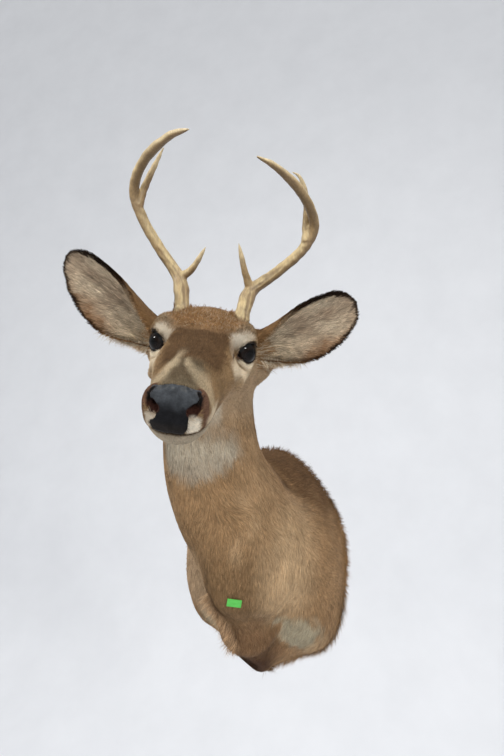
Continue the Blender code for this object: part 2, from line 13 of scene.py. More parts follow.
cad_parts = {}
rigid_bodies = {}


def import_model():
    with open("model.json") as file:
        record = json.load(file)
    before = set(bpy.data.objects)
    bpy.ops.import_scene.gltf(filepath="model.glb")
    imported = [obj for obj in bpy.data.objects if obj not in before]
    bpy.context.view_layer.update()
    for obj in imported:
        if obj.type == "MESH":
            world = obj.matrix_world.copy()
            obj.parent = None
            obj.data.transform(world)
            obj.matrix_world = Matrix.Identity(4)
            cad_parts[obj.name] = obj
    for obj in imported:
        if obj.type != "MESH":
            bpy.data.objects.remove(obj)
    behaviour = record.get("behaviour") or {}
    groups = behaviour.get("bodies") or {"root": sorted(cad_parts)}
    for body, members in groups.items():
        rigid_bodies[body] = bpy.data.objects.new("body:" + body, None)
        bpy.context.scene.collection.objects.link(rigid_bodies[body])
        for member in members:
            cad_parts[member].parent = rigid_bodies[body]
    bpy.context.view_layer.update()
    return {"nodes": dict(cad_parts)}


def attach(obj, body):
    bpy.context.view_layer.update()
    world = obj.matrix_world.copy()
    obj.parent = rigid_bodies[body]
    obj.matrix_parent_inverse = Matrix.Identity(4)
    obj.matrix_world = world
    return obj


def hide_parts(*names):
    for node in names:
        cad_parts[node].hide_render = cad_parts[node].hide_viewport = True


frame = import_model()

BODY = "root"
rng = np.random.default_rng(11)
SHARE = 1.0

# ---- how finely things are made ----------------------------------------------------------
SKIN_CELL, NOSE_CELL, ANTLER_VOXEL = 0.0042, 0.0011, 0.00125
BODY_COAT, FACE_COAT = 0.0068, 0.0022     # depth of the coat, metres
BODY_TUFTS, NECK_EXTRA_TUFTS, HEAD_TUFTS = 92.0, 14, 150      # per square centimetre
TUFTS_PER_PIECE = 66000
EAR_ROWS, EAR_COLUMNS = 64, 30
EAR_LINING_TUFTS, EAR_BACK_TUFTS, EAR_SHAG_TUFTS = 21000, 15000, 4200
EYE_ROWS, EYE_COLUMNS = 48, 64
LASHES = 60

# ---- sizes shared with the solids ------------------------------------------------------
BACK_FACE = -0.003
BOARD_THICK = 0.018
BOARD_INSET = 0.016
EYE_RADIUS_MM = 17.5
EYE_CENTRE_MM = (48.0, -6.0, 1.0)
EYE_LOOK = (0.78, 0.60, 0.14)
EYE_OPENING_MM = (16.2, 12.0)

EYE_MID = np.array([0.0, -0.360, 0.249])
NOSE_DIRECTION = np.array([0.171, -0.785, -0.596])
LEFT_DIRECTION = np.array([0.952, 0.288, -0.106])

NECK_TOP = np.array([-0.030, -0.262, 0.262])
NECK_LOW = np.array([0.0, -0.135, -0.020])

# plane between neck and trunk: a point and the normal towards the trunk
TRUNK_PLANE = (np.array([0.0, -0.170, 0.070]), np.array([0.0, 0.80, -0.60]))

# stations along the head, mm: forward, top, bottom, half width high up, at mid height, low down
HEAD_STATIONS = np.array([
    (-120, 2, -84, 30, 44, 34),
    (-90, 22, -92, 40, 56, 44),
    (-60, 36, -95, 47, 66, 48),
    (-30, 38, -90, 51, 67, 40),
    (0, 32, -80, 51, 61, 31),
    (30, 27, -66, 43, 53, 26),
    (60, 25, -56, 34, 46, 22),
    (90, 25, -50, 27, 40, 24),
    (120, 25, -47, 23, 35, 24),
    (148, 25, -46, 21, 32, 23),
    (172, 24, -38, 20, 28, 17),
    (190, 20, -28, 17, 22, 12),
], float)

# stations down the neck: distance, side offset, forward offset, half width, reach in front, behind
NECK_STATIONS = np.array([
    (-0.050, 0.000, -0.008, 0.044, 0.046, 0.038),
    (0.000, 0.000, 0.000, 0.054, 0.058, 0.052),
    (0.068, -0.008, 0.015, 0.062, 0.064, 0.068),
    (0.134, -0.011, 0.026, 0.067, 0.068, 0.086),
    (0.184, -0.006, 0.021, 0.073, 0.078, 0.100),
    (0.245, 0.001, 0.008, 0.075, 0.090, 0.105),
    (0.289, 0.004, 0.000, 0.073, 0.097, 0.105),
    (0.340, 0.006, 0.000, 0.071, 0.100, 0.105),
])

# antlers, head mm, from the skull outwards; the radius runs from first to last
ANTLERS = {
    "left": {
        "beam": [(38, -50, 16), (42, -62, 38), (48, -84, 58), (77, -96, 83), (105, -103, 113),
                 (117, -103, 142), (107, -90, 169), (84, -66, 194), (57, -40, 211), (37, -24, 218)],
        "brow": [(47, -84, 59), (37, -81, 82), (25, -78, 118)],
        "second": [(111, -104, 126), (107, -111, 147), (102, -116, 179), (91, -114, 201),
                   (79, -110, 207)],
        "second_at": 0.50,
    },
    "right": {
        "beam": [(-36, -50, 14), (-38, -62, 36), (-48, -84, 62), (-77, -96, 94), (-103, -103, 129),
                 (-115, -102, 163), (-98, -84, 200), (-64, -53, 227), (-36, -24, 236)],
        "brow": [(-47, -84, 63), (-31, -81, 77), (-15, -78, 108)],
        "second": [(-110, -104, 144), (-102, -113, 172), (-88, -114, 204), (-81, -110, 217)],
        "second_at": 0.50,
    },
}
FORK_AT = 0.14                 # share of the beam's length at the brow fork
BEAM_RADII_MM = [(0.0, 9.2), (0.08, 10.0), (0.14, 9.6), (0.22, 8.2), (0.32, 7.5), (0.55, 7.0),
                 (0.80, 6.1), (0.93, 4.0), (1.0, 1.4)]
TINE_RADII_MM = [(0.0, 5.8), (0.3, 5.1), (0.7, 3.8), (0.92, 2.1), (1.0, 1.0)]

# ears, head mm: root, tip, and which way the cup opens
EARS = {
    "left": {"root": (62, -62, -5), "tip": (178, -60, 65), "open": (0.12, 0.97, -0.10),
             "bow": 4.0, "girth": 1.0},
    "right": {"root": (-62, -62, -4), "tip": (-182, -60, 77), "open": (-0.30, 0.94, -0.14),
              "bow": 1.5, "girth": 1.13},
}
# along the ear: share of length, radius of the cup, half angle of the cup in degrees
EAR_PROFILE = [(0.0, 17, 150), (0.12, 20, 125), (0.25, 26, 100), (0.40, 35, 76), (0.55, 43, 59),
               (0.70, 46, 49), (0.83, 47, 39), (0.92, 44, 28), (0.975, 40, 17), (1.0, 38, 8)]


# ---- head frame ---------------------------------------------------------------------
def unit(v):
    v = np.asarray(v, float)
    return v/np.linalg.norm(v)


def units(v):
    """Rows scaled to length one."""
    return v/np.linalg.norm(v, axis=1)[:, None]


def folded(p):
    """Points with both sides folded onto the left."""
    side = p.copy()
    side[..., 0] = np.abs(side[..., 0])
    return side


def head_axes():
    forward = unit(NOSE_DIRECTION)
    left = unit(LEFT_DIRECTION-forward*(forward@LEFT_DIRECTION))
    up = np.cross(left, forward)
    return np.stack([left, forward, up if up[2] > 0 else -up], 1)


HEAD_AXES = head_axes()


def from_head(p):
    """Head millimetres to metres in the object's frame."""
    return EYE_MID+np.asarray(p, float) @ HEAD_AXES.T/1000


def to_head(p):
    return (p-EYE_MID) @ HEAD_AXES*1000


# ---- implicit shapes ------------------------------------------------------------------
def blend(a, b, k):
    """Union of two fields with a fillet of about k."""
    h = np.maximum(k-np.abs(a-b), 0)/k
    return np.minimum(a, b)-h*h*h*k/6


def trim(a, b, k):
    """Intersection of two fields with its edge rounded by about k."""
    return -blend(-a, -b, k)


def ellipsoid(p, centre, radii):
    q = p-np.asarray(centre, float)
    r = np.asarray(radii, float)
    k0 = np.linalg.norm(q/r, axis=-1)
    k1 = np.linalg.norm(q/(r*r), axis=-1)
    return k0*(k0-1)/np.maximum(k1, 1e-9)


def capsule(p, a, b, ra, rb):
    """Rounded cone from a to b."""
    a = np.asarray(a, float)
    ab = np.asarray(b, float)-a
    t = np.clip((p-a) @ ab/(ab @ ab), 0, 1)
    return np.linalg.norm(p-a-t[..., None]*ab, axis=-1)-(ra+(rb-ra)*t)


def along(x, xs, ys):
    """Smooth monotone curve through the stations, flat beyond the ends."""
    xs = np.asarray(xs, float)
    ys = np.asarray(ys, float)
    h = np.diff(xs)
    s = np.diff(ys)/h
    m = np.zeros_like(ys)
    same = s[:-1]*s[1:] > 0
    total = np.where(same, s[:-1]+s[1:], 1.0)
    m[1:-1] = np.where(same, 2*s[:-1]*s[1:]/total, 0)
    m[0] = s[0]
    m[-1] = s[-1]
    x = np.clip(x, xs[0], xs[-1])
    i = np.clip(np.searchsorted(xs, x, side="right")-1, 0, len(xs)-2)
    t = (x-xs[i])/h[i]
    return ((2*t**3-3*t**2+1)*ys[i]+(t**3-2*t**2+t)*h[i]*m[i]
            + (-2*t**3+3*t**2)*ys[i+1]+(t**3-t**2)*h[i]*m[i+1])


def head_field(p):
    h = to_head(p)
    side = folded(h)
    l, f, u = side[..., 0], side[..., 1], side[..., 2]
    stations = HEAD_STATIONS.T
    top, bottom, high, middle, low = (along(f, stations[0], row) for row in stations[1:])
    half = (top-bottom)/2
    v = np.clip((u-(top+bottom)/2)/half, -1.3, 1.3)
    width = middle+(high-low)*0.45*v+((high+low)/2-middle)*v*v*0.9
    d = ((l/width)**2.5+np.abs(v)**2.5)**0.4-1
    d = d*np.minimum(width, half)*0.95
    d = trim(d, f-181, 26)
    d = trim(d, -112-f, 40)
    d = blend(d, ellipsoid(side, (46, -18, 12), (19, 27, 21)), 16)     # brow and orbit
    d = d+6.0*np.exp(-((f-24)/13)**2-((u-2)/14)**2)*ease(l, 22, 46)    # before the eye
    d = blend(d, ellipsoid(side, (38, -42, -44), (20, 44, 42)), 20)    # cheek
    d = blend(d, capsule(side, (53, -50, -8), (48, 40, -24), 10.0, 6.5), 14)    # cheekbone
    d = blend(d, ellipsoid(side, (20, 164, 5), (10, 15, 14)), 10)      # nostril wing
    d = blend(d, ellipsoid(side, (62, -64, -6), (19, 19, 20)), 18)     # root of the ear
    d = blend(d, ellipsoid(h, (69, -60, -31), (20, 18, 25)), 20)       # below the left ear
    d = blend(d, ellipsoid(h, (-65, -60, -33), (15, 18, 22)), 20)      # below the right ear
    d = blend(d, capsule(side, (36, -52, 14), (41, -60, 27), 12.0, 9.5), 12)    # pedicle
    return d/1000


def neck_place(p):
    """Distance down the neck, offset to the deer's left and offset to the front."""
    axis = unit(NECK_LOW-NECK_TOP)
    side = unit(np.array([1.0, 0, 0])-axis*axis[0])
    front = np.cross(side, axis)
    front = front if front[1] < 0 else -front
    q = p-NECK_TOP
    return q @ axis, q @ side, q @ front


def neck_field(p):
    length = np.linalg.norm(NECK_LOW-NECK_TOP)
    t, s, n = neck_place(p)
    rows = NECK_STATIONS.T
    sideways, forwards, width, before, behind = (along(t, rows[0], row) for row in rows[1:])
    s = s-sideways
    n = n-forwards
    reach = np.where(n > 0, before, behind)
    keel = along(t, [0.16, 0.24, 0.32], [0.0, 0.2, 0.45])
    width = width*(1-keel*np.clip(n/before, 0, 1))
    d = (np.sqrt((s/width)**2+(n/reach)**2)-1)*np.minimum(width, reach)
    d = trim(d, -0.045-t, 0.07)
    return trim(d, t-(length-0.01), 0.06)


def body_field(p):
    side = folded(p)
    d = ellipsoid(p, (0.003, 0.03, -0.015), (0.124, 0.17, 0.165))            # barrel
    d = blend(d, ellipsoid(side, (0.058, -0.045, 0.00), (0.060, 0.105, 0.10)), 0.06)
    stumps = np.minimum(ellipsoid(p, (0.074, 0.0, -0.072), (0.049, 0.125, 0.082)),
                        ellipsoid(p, (-0.066, 0.0, -0.042), (0.052, 0.120, 0.078)))
    d = blend(d, stumps, 0.035)
    d = blend(d, ellipsoid(side, (0.0, 0.02, 0.092), (0.066, 0.15, 0.074)), 0.06)   # withers
    d = blend(d, ellipsoid(p, (0.010, -0.145, 0.004), (0.060, 0.102, 0.090)), 0.035)   # breast
    keel = np.minimum(capsule(p, (0, -0.180, -0.030), (0, -0.128, -0.098), 0.040, 0.042),
                      capsule(p, (0, -0.128, -0.098), (-0.004, -0.030, -0.170), 0.042, 0.015))
    return blend(d, keel, 0.040)


def hide_field(p):
    crease = np.clip((-p[..., 0]-0.015)/0.03, 0, 1)*np.clip((0.07-p[..., 2])/0.06, 0, 1)
    fill = (np.clip((p[..., 0]-0.020)/0.030, 0, 1)*np.clip((0.085-p[..., 2])/0.050, 0, 1)
            * np.clip((p[..., 2]+0.100)/0.040, 0, 1))
    d = blend(body_field(p), neck_field(p), 0.09-0.065*crease+0.05*fill)
    h = to_head(p)
    join = (np.clip((h[..., 0]-12)/25, 0, 1)*np.clip((60-h[..., 1])/40, 0, 1)
            * np.clip((-h[..., 2]+5)/30, 0, 1))
    return blend(d, head_field(p), 0.030+0.032*join)


# ---- meshing ------------------------------------------------------------------------
def surface_nets(field, low, high, cell):
    """Quads on the zero surface of a field, one vertex per cell that the surface crosses."""
    low = np.asarray(low, float)
    count = np.ceil((np.asarray(high)-low)/cell).astype(int)+1
    axes = [low[i]+cell*np.arange(count[i]) for i in range(3)]
    value = field(np.stack(np.meshgrid(*axes, indexing="ij"), -1))
    inside = value < 0
    corners = [(a, b, c) for a in (0, 1) for b in (0, 1) for c in (0, 1)]
    total = np.zeros(tuple(count-1), int)
    for c in corners:
        total += inside[tuple(slice(c[i], count[i]-1+c[i]) for i in range(3))]
    crossed = (total > 0) & (total < 8)
    index = -np.ones(crossed.shape, int)
    index[crossed] = np.arange(crossed.sum())
    cells = np.argwhere(crossed)
    place = np.zeros((len(cells), 3))
    hits = np.zeros(len(cells))
    for a in corners:
        for k in range(3):
            if a[k]:
                continue
            step = np.eye(3, dtype=int)[k]
            va = value[tuple((cells+a).T)]
            vb = value[tuple((cells+a+step).T)]
            hit = (va < 0) != (vb < 0)
            t = np.where(hit, va/np.where(hit, va-vb, 1.0), 0)
            place[hit] += (np.array(a, float)+t[:, None]*step)[hit]
            hits += hit
    verts = low+cell*(cells+place/hits[:, None])
    quads = []
    for k in range(3):
        i, j = [(1, 2), (2, 0), (0, 1)][k]
        step = np.eye(3, dtype=int)[k]
        here = inside[tuple(slice(0, count[m]-step[m]) for m in range(3))]
        there = inside[tuple(slice(step[m], count[m]) for m in range(3))]
        edge = np.argwhere(here != there)
        edge = edge[(edge[:, i] > 0) & (edge[:, j] > 0)
                    & (edge[:, i] < count[i]-1) & (edge[:, j] < count[j]-1)]
        ring = []
        for di, dj in ((-1, -1), (0, -1), (0, 0), (-1, 0)):
            c = edge.copy()
            c[:, i] += di
            c[:, j] += dj
            ring.append(index[tuple(c.T)])
        ring = np.stack(ring, 1)
        turned = ~here[tuple(edge.T)]
        ring[turned] = ring[turned][:, ::-1]
        quads.append(ring)
    return verts, np.concatenate(quads)


def settle(field, verts):
    """Move vertices onto the zero surface along its gradient."""
    for _ in range(3):
        slope = np.stack([(field(verts+e)-field(verts-e))/0.001
                          for e in np.eye(3)*0.0005], -1)
        size = np.maximum((slope*slope).sum(-1), 0.05)
        verts = verts-(field(verts)/size)[:, None]*slope
    return verts


# ---- small helpers ---------------------------------------------------------------------
def ease(x, a, b):
    """Smooth step from 0 at a to 1 at b."""
    t = np.clip((x-a)/(b-a), 0, 1)
    return t*t*(3-2*t)


def bump_at(x, centre, width):
    return np.exp(-((x-centre)/width)**2)


def ripple(p, size, seed, waves=7):
    """Smooth pseudo-random field between about -1 and 1, its features of the given size."""
    r = np.random.default_rng(seed)
    way = r.normal(size=(waves, 3))
    way = units(way)
    way *= (2*np.pi/size)*r.uniform(0.45, 1.1, (waves, 1))
    return np.sin(p @ way.T+r.uniform(0, 6.28, waves)).sum(-1)/np.sqrt(waves)*0.9


def reach_of(p, centre, radii):
    """Distance from a centre in radii of an ellipsoid."""
    return np.linalg.norm((p-np.array(centre))/np.array(radii), axis=1)


def painted(p, colour):
    """One colour for every point."""
    return np.repeat(np.array([colour]), len(p), 0)


def over(base, tint, weight):
    """Lay a tint over base colours by weight."""
    w = np.clip(weight, 0, 1)[:, None]
    return base*(1-w)+np.asarray(tint, float)*w


# ---- the skin's own form ---------------------------------------------------------------
def coat_depth(p):
    """How far the skin lies under the tips of the coat, metres."""
    f = (p-EYE_MID) @ HEAD_AXES[:, 1]*1000
    u = (p-EYE_MID) @ HEAD_AXES[:, 2]*1000
    face = FACE_COAT-0.0010*ease(f, 50, 110)+0.0022*ease(f, 10, -25)*ease(u, 5, 25)
    return face+(BODY_COAT-face)*ease(f, -40, -95)


def eye_axes():
    look = unit(EYE_LOOK)
    rise = unit(np.array([0, 0, 1.0])-look*look[2])
    return look, rise, np.cross(look, rise)


def lid_reach(x, y):
    """Half height of the opening: fullest above and in front, drawn in at the corners."""
    full = ease(-x, -2, 7)*ease(y, -1, 4)
    corner = np.clip(np.abs(x)/EYE_OPENING_MM[0], 0, 1.2)**2.2
    return (EYE_OPENING_MM[1]+1.2*full)*(1-(0.32-0.22*full)*corner)


def almond(side_h):
    """Signed reach outside the almond between the lids, mm, and distance along the look."""
    look, rise, length = eye_axes()
    q = side_h-np.asarray(EYE_CENTRE_MM)
    out = q @ look
    x = q @ length
    y = q @ rise
    half = lid_reach(x, y)
    return np.sqrt((x/EYE_OPENING_MM[0])**2+(y/np.maximum(half, 4))**2), out, x, y


def skin_field(p):
    """Signed distance to the skin, metres, with lids, nostrils and lips in the face."""
    d = (hide_field(p)+coat_depth(p))*1000
    h = to_head(p)
    near = h[..., 1] > -60
    if near.any():
        d[near] = face_form(h[near], d[near])
    return d/1000


def mouth_line(f):
    """Height of the line between the lips, from how far forward it is."""
    return -20.5+0.105*(178-f)-0.0006*(178-f)**2


def face_form(h, d):
    """The head's distance d, mm, with the forms of the face cut into it."""
    side = folded(h)
    l, f, u = side[..., 0], side[..., 1], side[..., 2]
    # lids: the skin hugs the eyeball and is opened by the almond
    q = side-np.asarray(EYE_CENTRE_MM)
    ball = np.linalg.norm(q, axis=-1)
    look, rise, length = eye_axes()
    facing = (q @ unit(look+np.array([-0.10, 0.45, 0.10])))/np.maximum(ball, 1e-6)
    hug = ball-EYE_RADIUS_MM-2.2-22*ease(facing, 0.75, 0.15)-2.2*np.maximum(ball-25, 0)
    d = trim(d, hug, 12.0)
    d = blend(d, ball-EYE_RADIUS_MM-0.9, 6.0)
    centre = np.asarray(EYE_CENTRE_MM)
    fold = centre+look*10+rise*13.5
    upper = capsule(side, fold-length*9, fold+length*9, 2.2, 2.2)
    d = blend(d, upper, 6.0)
    shape, out, _, _ = almond(side)
    opening = np.maximum((shape-1)*10.5, 4-out)
    d = trim(d, -opening, 1.6)
    # tear duct: a slanting slit before the eye
    duct = capsule(side, (45.0, 14.0, 0.0), (40.5, 32.0, 6.5), 2.4, 1.0)
    d = trim(d, -duct, 2.5)
    # hollow under the eye
    d = d+0.5*np.exp(-((l-44)/11)**2-((f-38)/24)**2-((u+14)/12)**2)
    # nostrils: a round hollow with a slit curving up and back
    d = trim(d, -nostril(side), 1.8)
    # philtrum and the line between pad and lip
    d = d+1.0*np.exp(-(l/1.6)**2)*ease(f, 172, 178)*ease(u, 4, -4)
    # mouth: a groove between the lips
    line = mouth_line(f)
    d = d+2.4*np.exp(-((u-line)/1.7)**2)*ease(f, 96, 112)
    # lower lip falls back under the upper
    d = d+2.6*ease(u, line+1, line-4)*ease(f, 150, 172)
    # muzzle: whisker pads
    d = d-1.2*np.exp(-((f-150)/16)**2-((u+8)/9)**2)*ease(l, 10, 20)
    return d


def nostril(side):
    """Distance outside the nostril: a round hollow with a slit curving up and back."""
    d = capsule(side, (17.0, 177.0, 4.0), (19.5, 175.5, 7.5), 5.0, 4.4)
    d = np.minimum(d, capsule(side, (20.0, 174.5, 8.0), (22.6, 170.5, 14.5), 3.8, 2.0))
    d = np.minimum(d, capsule(side, (19.0, 175.0, 8.0), (14.0, 161.0, 5.0), 3.4, 1.8))
    return np.minimum(d, capsule(side, (22.6, 170.5, 14.5), (19.5, 166.0, 21.0), 1.9, 1.1))


def stroke(h, points, squeeze=1.0):
    """Distance from a path of points, in half widths of the path, each point with its own."""
    scale = np.array([1, squeeze, 1, 1])
    h = h*scale[:3]
    near = np.full(len(h), 1e3)
    for a, b in zip(points[:-1], points[1:]):
        a, b = np.asarray(a, float)*scale, np.asarray(b, float)*scale
        way = b[:3]-a[:3]
        t = np.clip((h-a[:3]) @ way/(way @ way), 0, 1)
        gap = np.linalg.norm(h-a[:3]-t[:, None]*way, axis=1)
        near = np.minimum(near, gap/(a[3]+(b[3]-a[3])*t))
    return near


def nose_pad_mask(h):
    """1 on the bare pad between and below the nostrils, 0 on haired skin."""
    f, u = h[:, 1], h[:, 2]
    l = np.abs(h[:, 0]+3.0*ease(u, -2, -10))
    wide = 13.0+7.5*ease(u, 4, 17)+3.2*ease(u, -2, -10)-3.0*ease(u, -12, -20)
    top = ease(f, 165.5-0.12*l, 168.0-0.12*l)
    low = ease(u, -21.5, -19.0)
    return top*low*ease(l, wide+1.6, wide-1.0)*ease(f, 150, 160)


# ---- ears ------------------------------------------------------------------------------
def ear_place(side, s, q, lift):
    """Point on the ear: share of its length, share across the cup, mm behind its middle."""
    spec = EARS[side]
    root = np.array(spec["root"], float)
    tip = np.array(spec["tip"], float)
    axis = unit(tip-root)
    opening = np.array(spec["open"], float)
    opening = unit(opening-axis*(opening @ axis))
    across = np.cross(axis, opening)
    across = across if across[2] > 0 else -across
    table = np.array(EAR_PROFILE, float).T
    s = np.asarray(s, float)
    r = along(s, table[0], table[1])*(1+(spec["girth"]-1)*np.sin(np.pi*s))
    a = np.radians(along(s, table[0], table[2]))*q
    spine = root+(tip-root)*s[..., None]-across*(spec["bow"]*np.sin(np.pi*s))[..., None]
    r_out = (r+lift)[..., None]
    return from_head(spine+across*r_out*np.sin(a)[..., None]
                     + opening*(r[..., None]-r_out*np.cos(a)[..., None]))


def ear_lift(s, q, inner):
    """Where the two sides of the ear's skin lie from its middle, mm."""
    thick = (1.7-0.7*s)*np.sqrt(np.clip(1-np.abs(q)**6, 0, 1))+0.25
    if not inner:
        return thick
    ridge = sum(bump_at(q, c*(1-0.35*s), 0.07) for c in (-0.45, -0.12, 0.25))
    return -thick-1.1*ridge*ease(s, 0.12, 0.3)*ease(s, 0.85, 0.5)


def ear_skin(side):
    """Vertices and faces of one ear, its outer and inner side in one closed sheet."""
    rows, columns = EAR_ROWS, EAR_COLUMNS
    s = np.linspace(0, 1, rows)**0.92
    q = np.sin(np.linspace(-np.pi/2, np.pi/2, columns))
    grid_s, grid_q = np.meshgrid(s, q, indexing="ij")
    outer = ear_place(side, grid_s, grid_q*0.985, ear_lift(grid_s, grid_q, False))
    inner = ear_place(side, grid_s, grid_q*0.985, ear_lift(grid_s, grid_q, True))[:, ::-1]
    ring = 2*columns
    verts = np.concatenate([outer, inner], 1).reshape(-1, 3)
    faces = []
    for i in range(rows-1):
        for k in range(ring):
            n = (k+1) % ring
            faces.append((i*ring+k, i*ring+n, (i+1)*ring+n, (i+1)*ring+k))
    for row in (0, rows-1):
        for k in range(columns-1):
            a = row*ring
            faces.append((a+k, a+k+1, a+ring-2-k, a+ring-1-k))
    return verts, faces


def smooth_path(points, count):
    """Catmull-Rom curve through the points, evenly spaced along its length."""
    p = np.asarray(points, float)
    p = np.vstack([2*p[0]-p[1], p, 2*p[-1]-p[-2]])
    fine = []
    for i in range(1, len(p)-2):
        t = np.linspace(0, 1, 24, endpoint=False)[:, None]
        a, b, c, d = p[i-1:i+3]
        fine.append(0.5*(2*b+(c-a)*t+(2*a-5*b+4*c-d)*t**2+(3*b-a-3*c+d)*t**3))
    fine = np.vstack(fine+[p[-2][None]])
    run = np.concatenate([[0], np.cumsum(np.linalg.norm(np.diff(fine, axis=0), axis=1))])
    want = np.linspace(0, run[-1], count)
    return np.stack([np.interp(want, run, fine[:, k]) for k in range(3)], 1)


# ---- markings: one colour for skin and coat --------------------------------------------
TAN = (0.300, 0.184, 0.094)
PALE_TAN = (0.530, 0.368, 0.212)
NECK_TAN = (0.285, 0.175, 0.088)
NECK_FRONT = (0.186, 0.113, 0.056)
NECK_SIDE = (0.385, 0.250, 0.136)
NECK_UPPER = (0.260, 0.165, 0.088)
NAPE = (0.225, 0.130, 0.062)
BRISKET = (0.185, 0.105, 0.053)
KEEL_BROWN = (0.060, 0.026, 0.012)
FAR_SHOULDER = (0.420, 0.310, 0.205)
DARK_BROWN = (0.118, 0.066, 0.033)
RIM_BROWN = (0.215, 0.120, 0.052)
TIP_BROWN = (0.050, 0.024, 0.011)
WHITE = (0.520, 0.455, 0.350)
THROAT = (0.405, 0.350, 0.265)
THROAT_LOW = (0.350, 0.290, 0.215)
CHIN = (0.330, 0.275, 0.200)
FOREHEAD = (0.092, 0.052, 0.025)
CAP = (0.228, 0.123, 0.052)
CAP_EDGE = (0.330, 0.220, 0.125)
CHEEK = (0.208, 0.131, 0.066)
PALE_CHEEK = (0.430, 0.325, 0.200)
JAW = (0.480, 0.350, 0.225)
RING = (0.640, 0.560, 0.440)
ABOVE_EYE = (0.235, 0.165, 0.100)
BEHIND_EYE = (0.330, 0.225, 0.135)
BRIGHT_BROW = (0.740, 0.680, 0.570)
LID_CREAM_AND_PAINTED_LIGHT = (0.720, 0.620, 0.460)
LID_BROWN = (0.060, 0.036, 0.025)
DUCT_BROWN = (0.050, 0.026, 0.017)
BAND = (0.400, 0.318, 0.205)
PAD_EDGE = (0.150, 0.116, 0.072)
LIP = (0.640, 0.570, 0.460)
SOOT = (0.120, 0.075, 0.045)
BRIDGE = (0.084, 0.060, 0.035)
WING = (0.120, 0.064, 0.040)
BLACK = (0.012, 0.010, 0.009)
NOSTRIL = (0.040, 0.016, 0.011)
CREAM = (0.600, 0.500, 0.360)
ARMPIT = (0.370, 0.318, 0.220)
CURL = (0.400, 0.262, 0.150)
EAR_LINING = (0.560, 0.460, 0.330)
EAR_SKIN = (0.300, 0.215, 0.145)
EAR_BACK = (0.180, 0.105, 0.052)
RUST = (0.235, 0.120, 0.055)
BONE = (0.265, 0.176, 0.078)
BONE_PAINTED_LIGHT = (0.580, 0.450, 0.235)
BONE_SHADE = (0.115, 0.070, 0.030)
BONE_TIP = (0.640, 0.520, 0.320)
BONE_BASE = (0.600, 0.480, 0.260)
BONE_FORK_BROWN = (0.205, 0.135, 0.078)
BONE_DIRT = (0.110, 0.062, 0.030)
BONE_STREAK = (0.250, 0.150, 0.068)
PAD_BLACK = (0.006, 0.006, 0.007)
PAD_DUST_AND_SHEEN = (0.038, 0.042, 0.047)
PAD_CHALK = (0.090, 0.092, 0.090)
NOSTRIL_PAINTED_SHADE = (0.003, 0.002, 0.002)


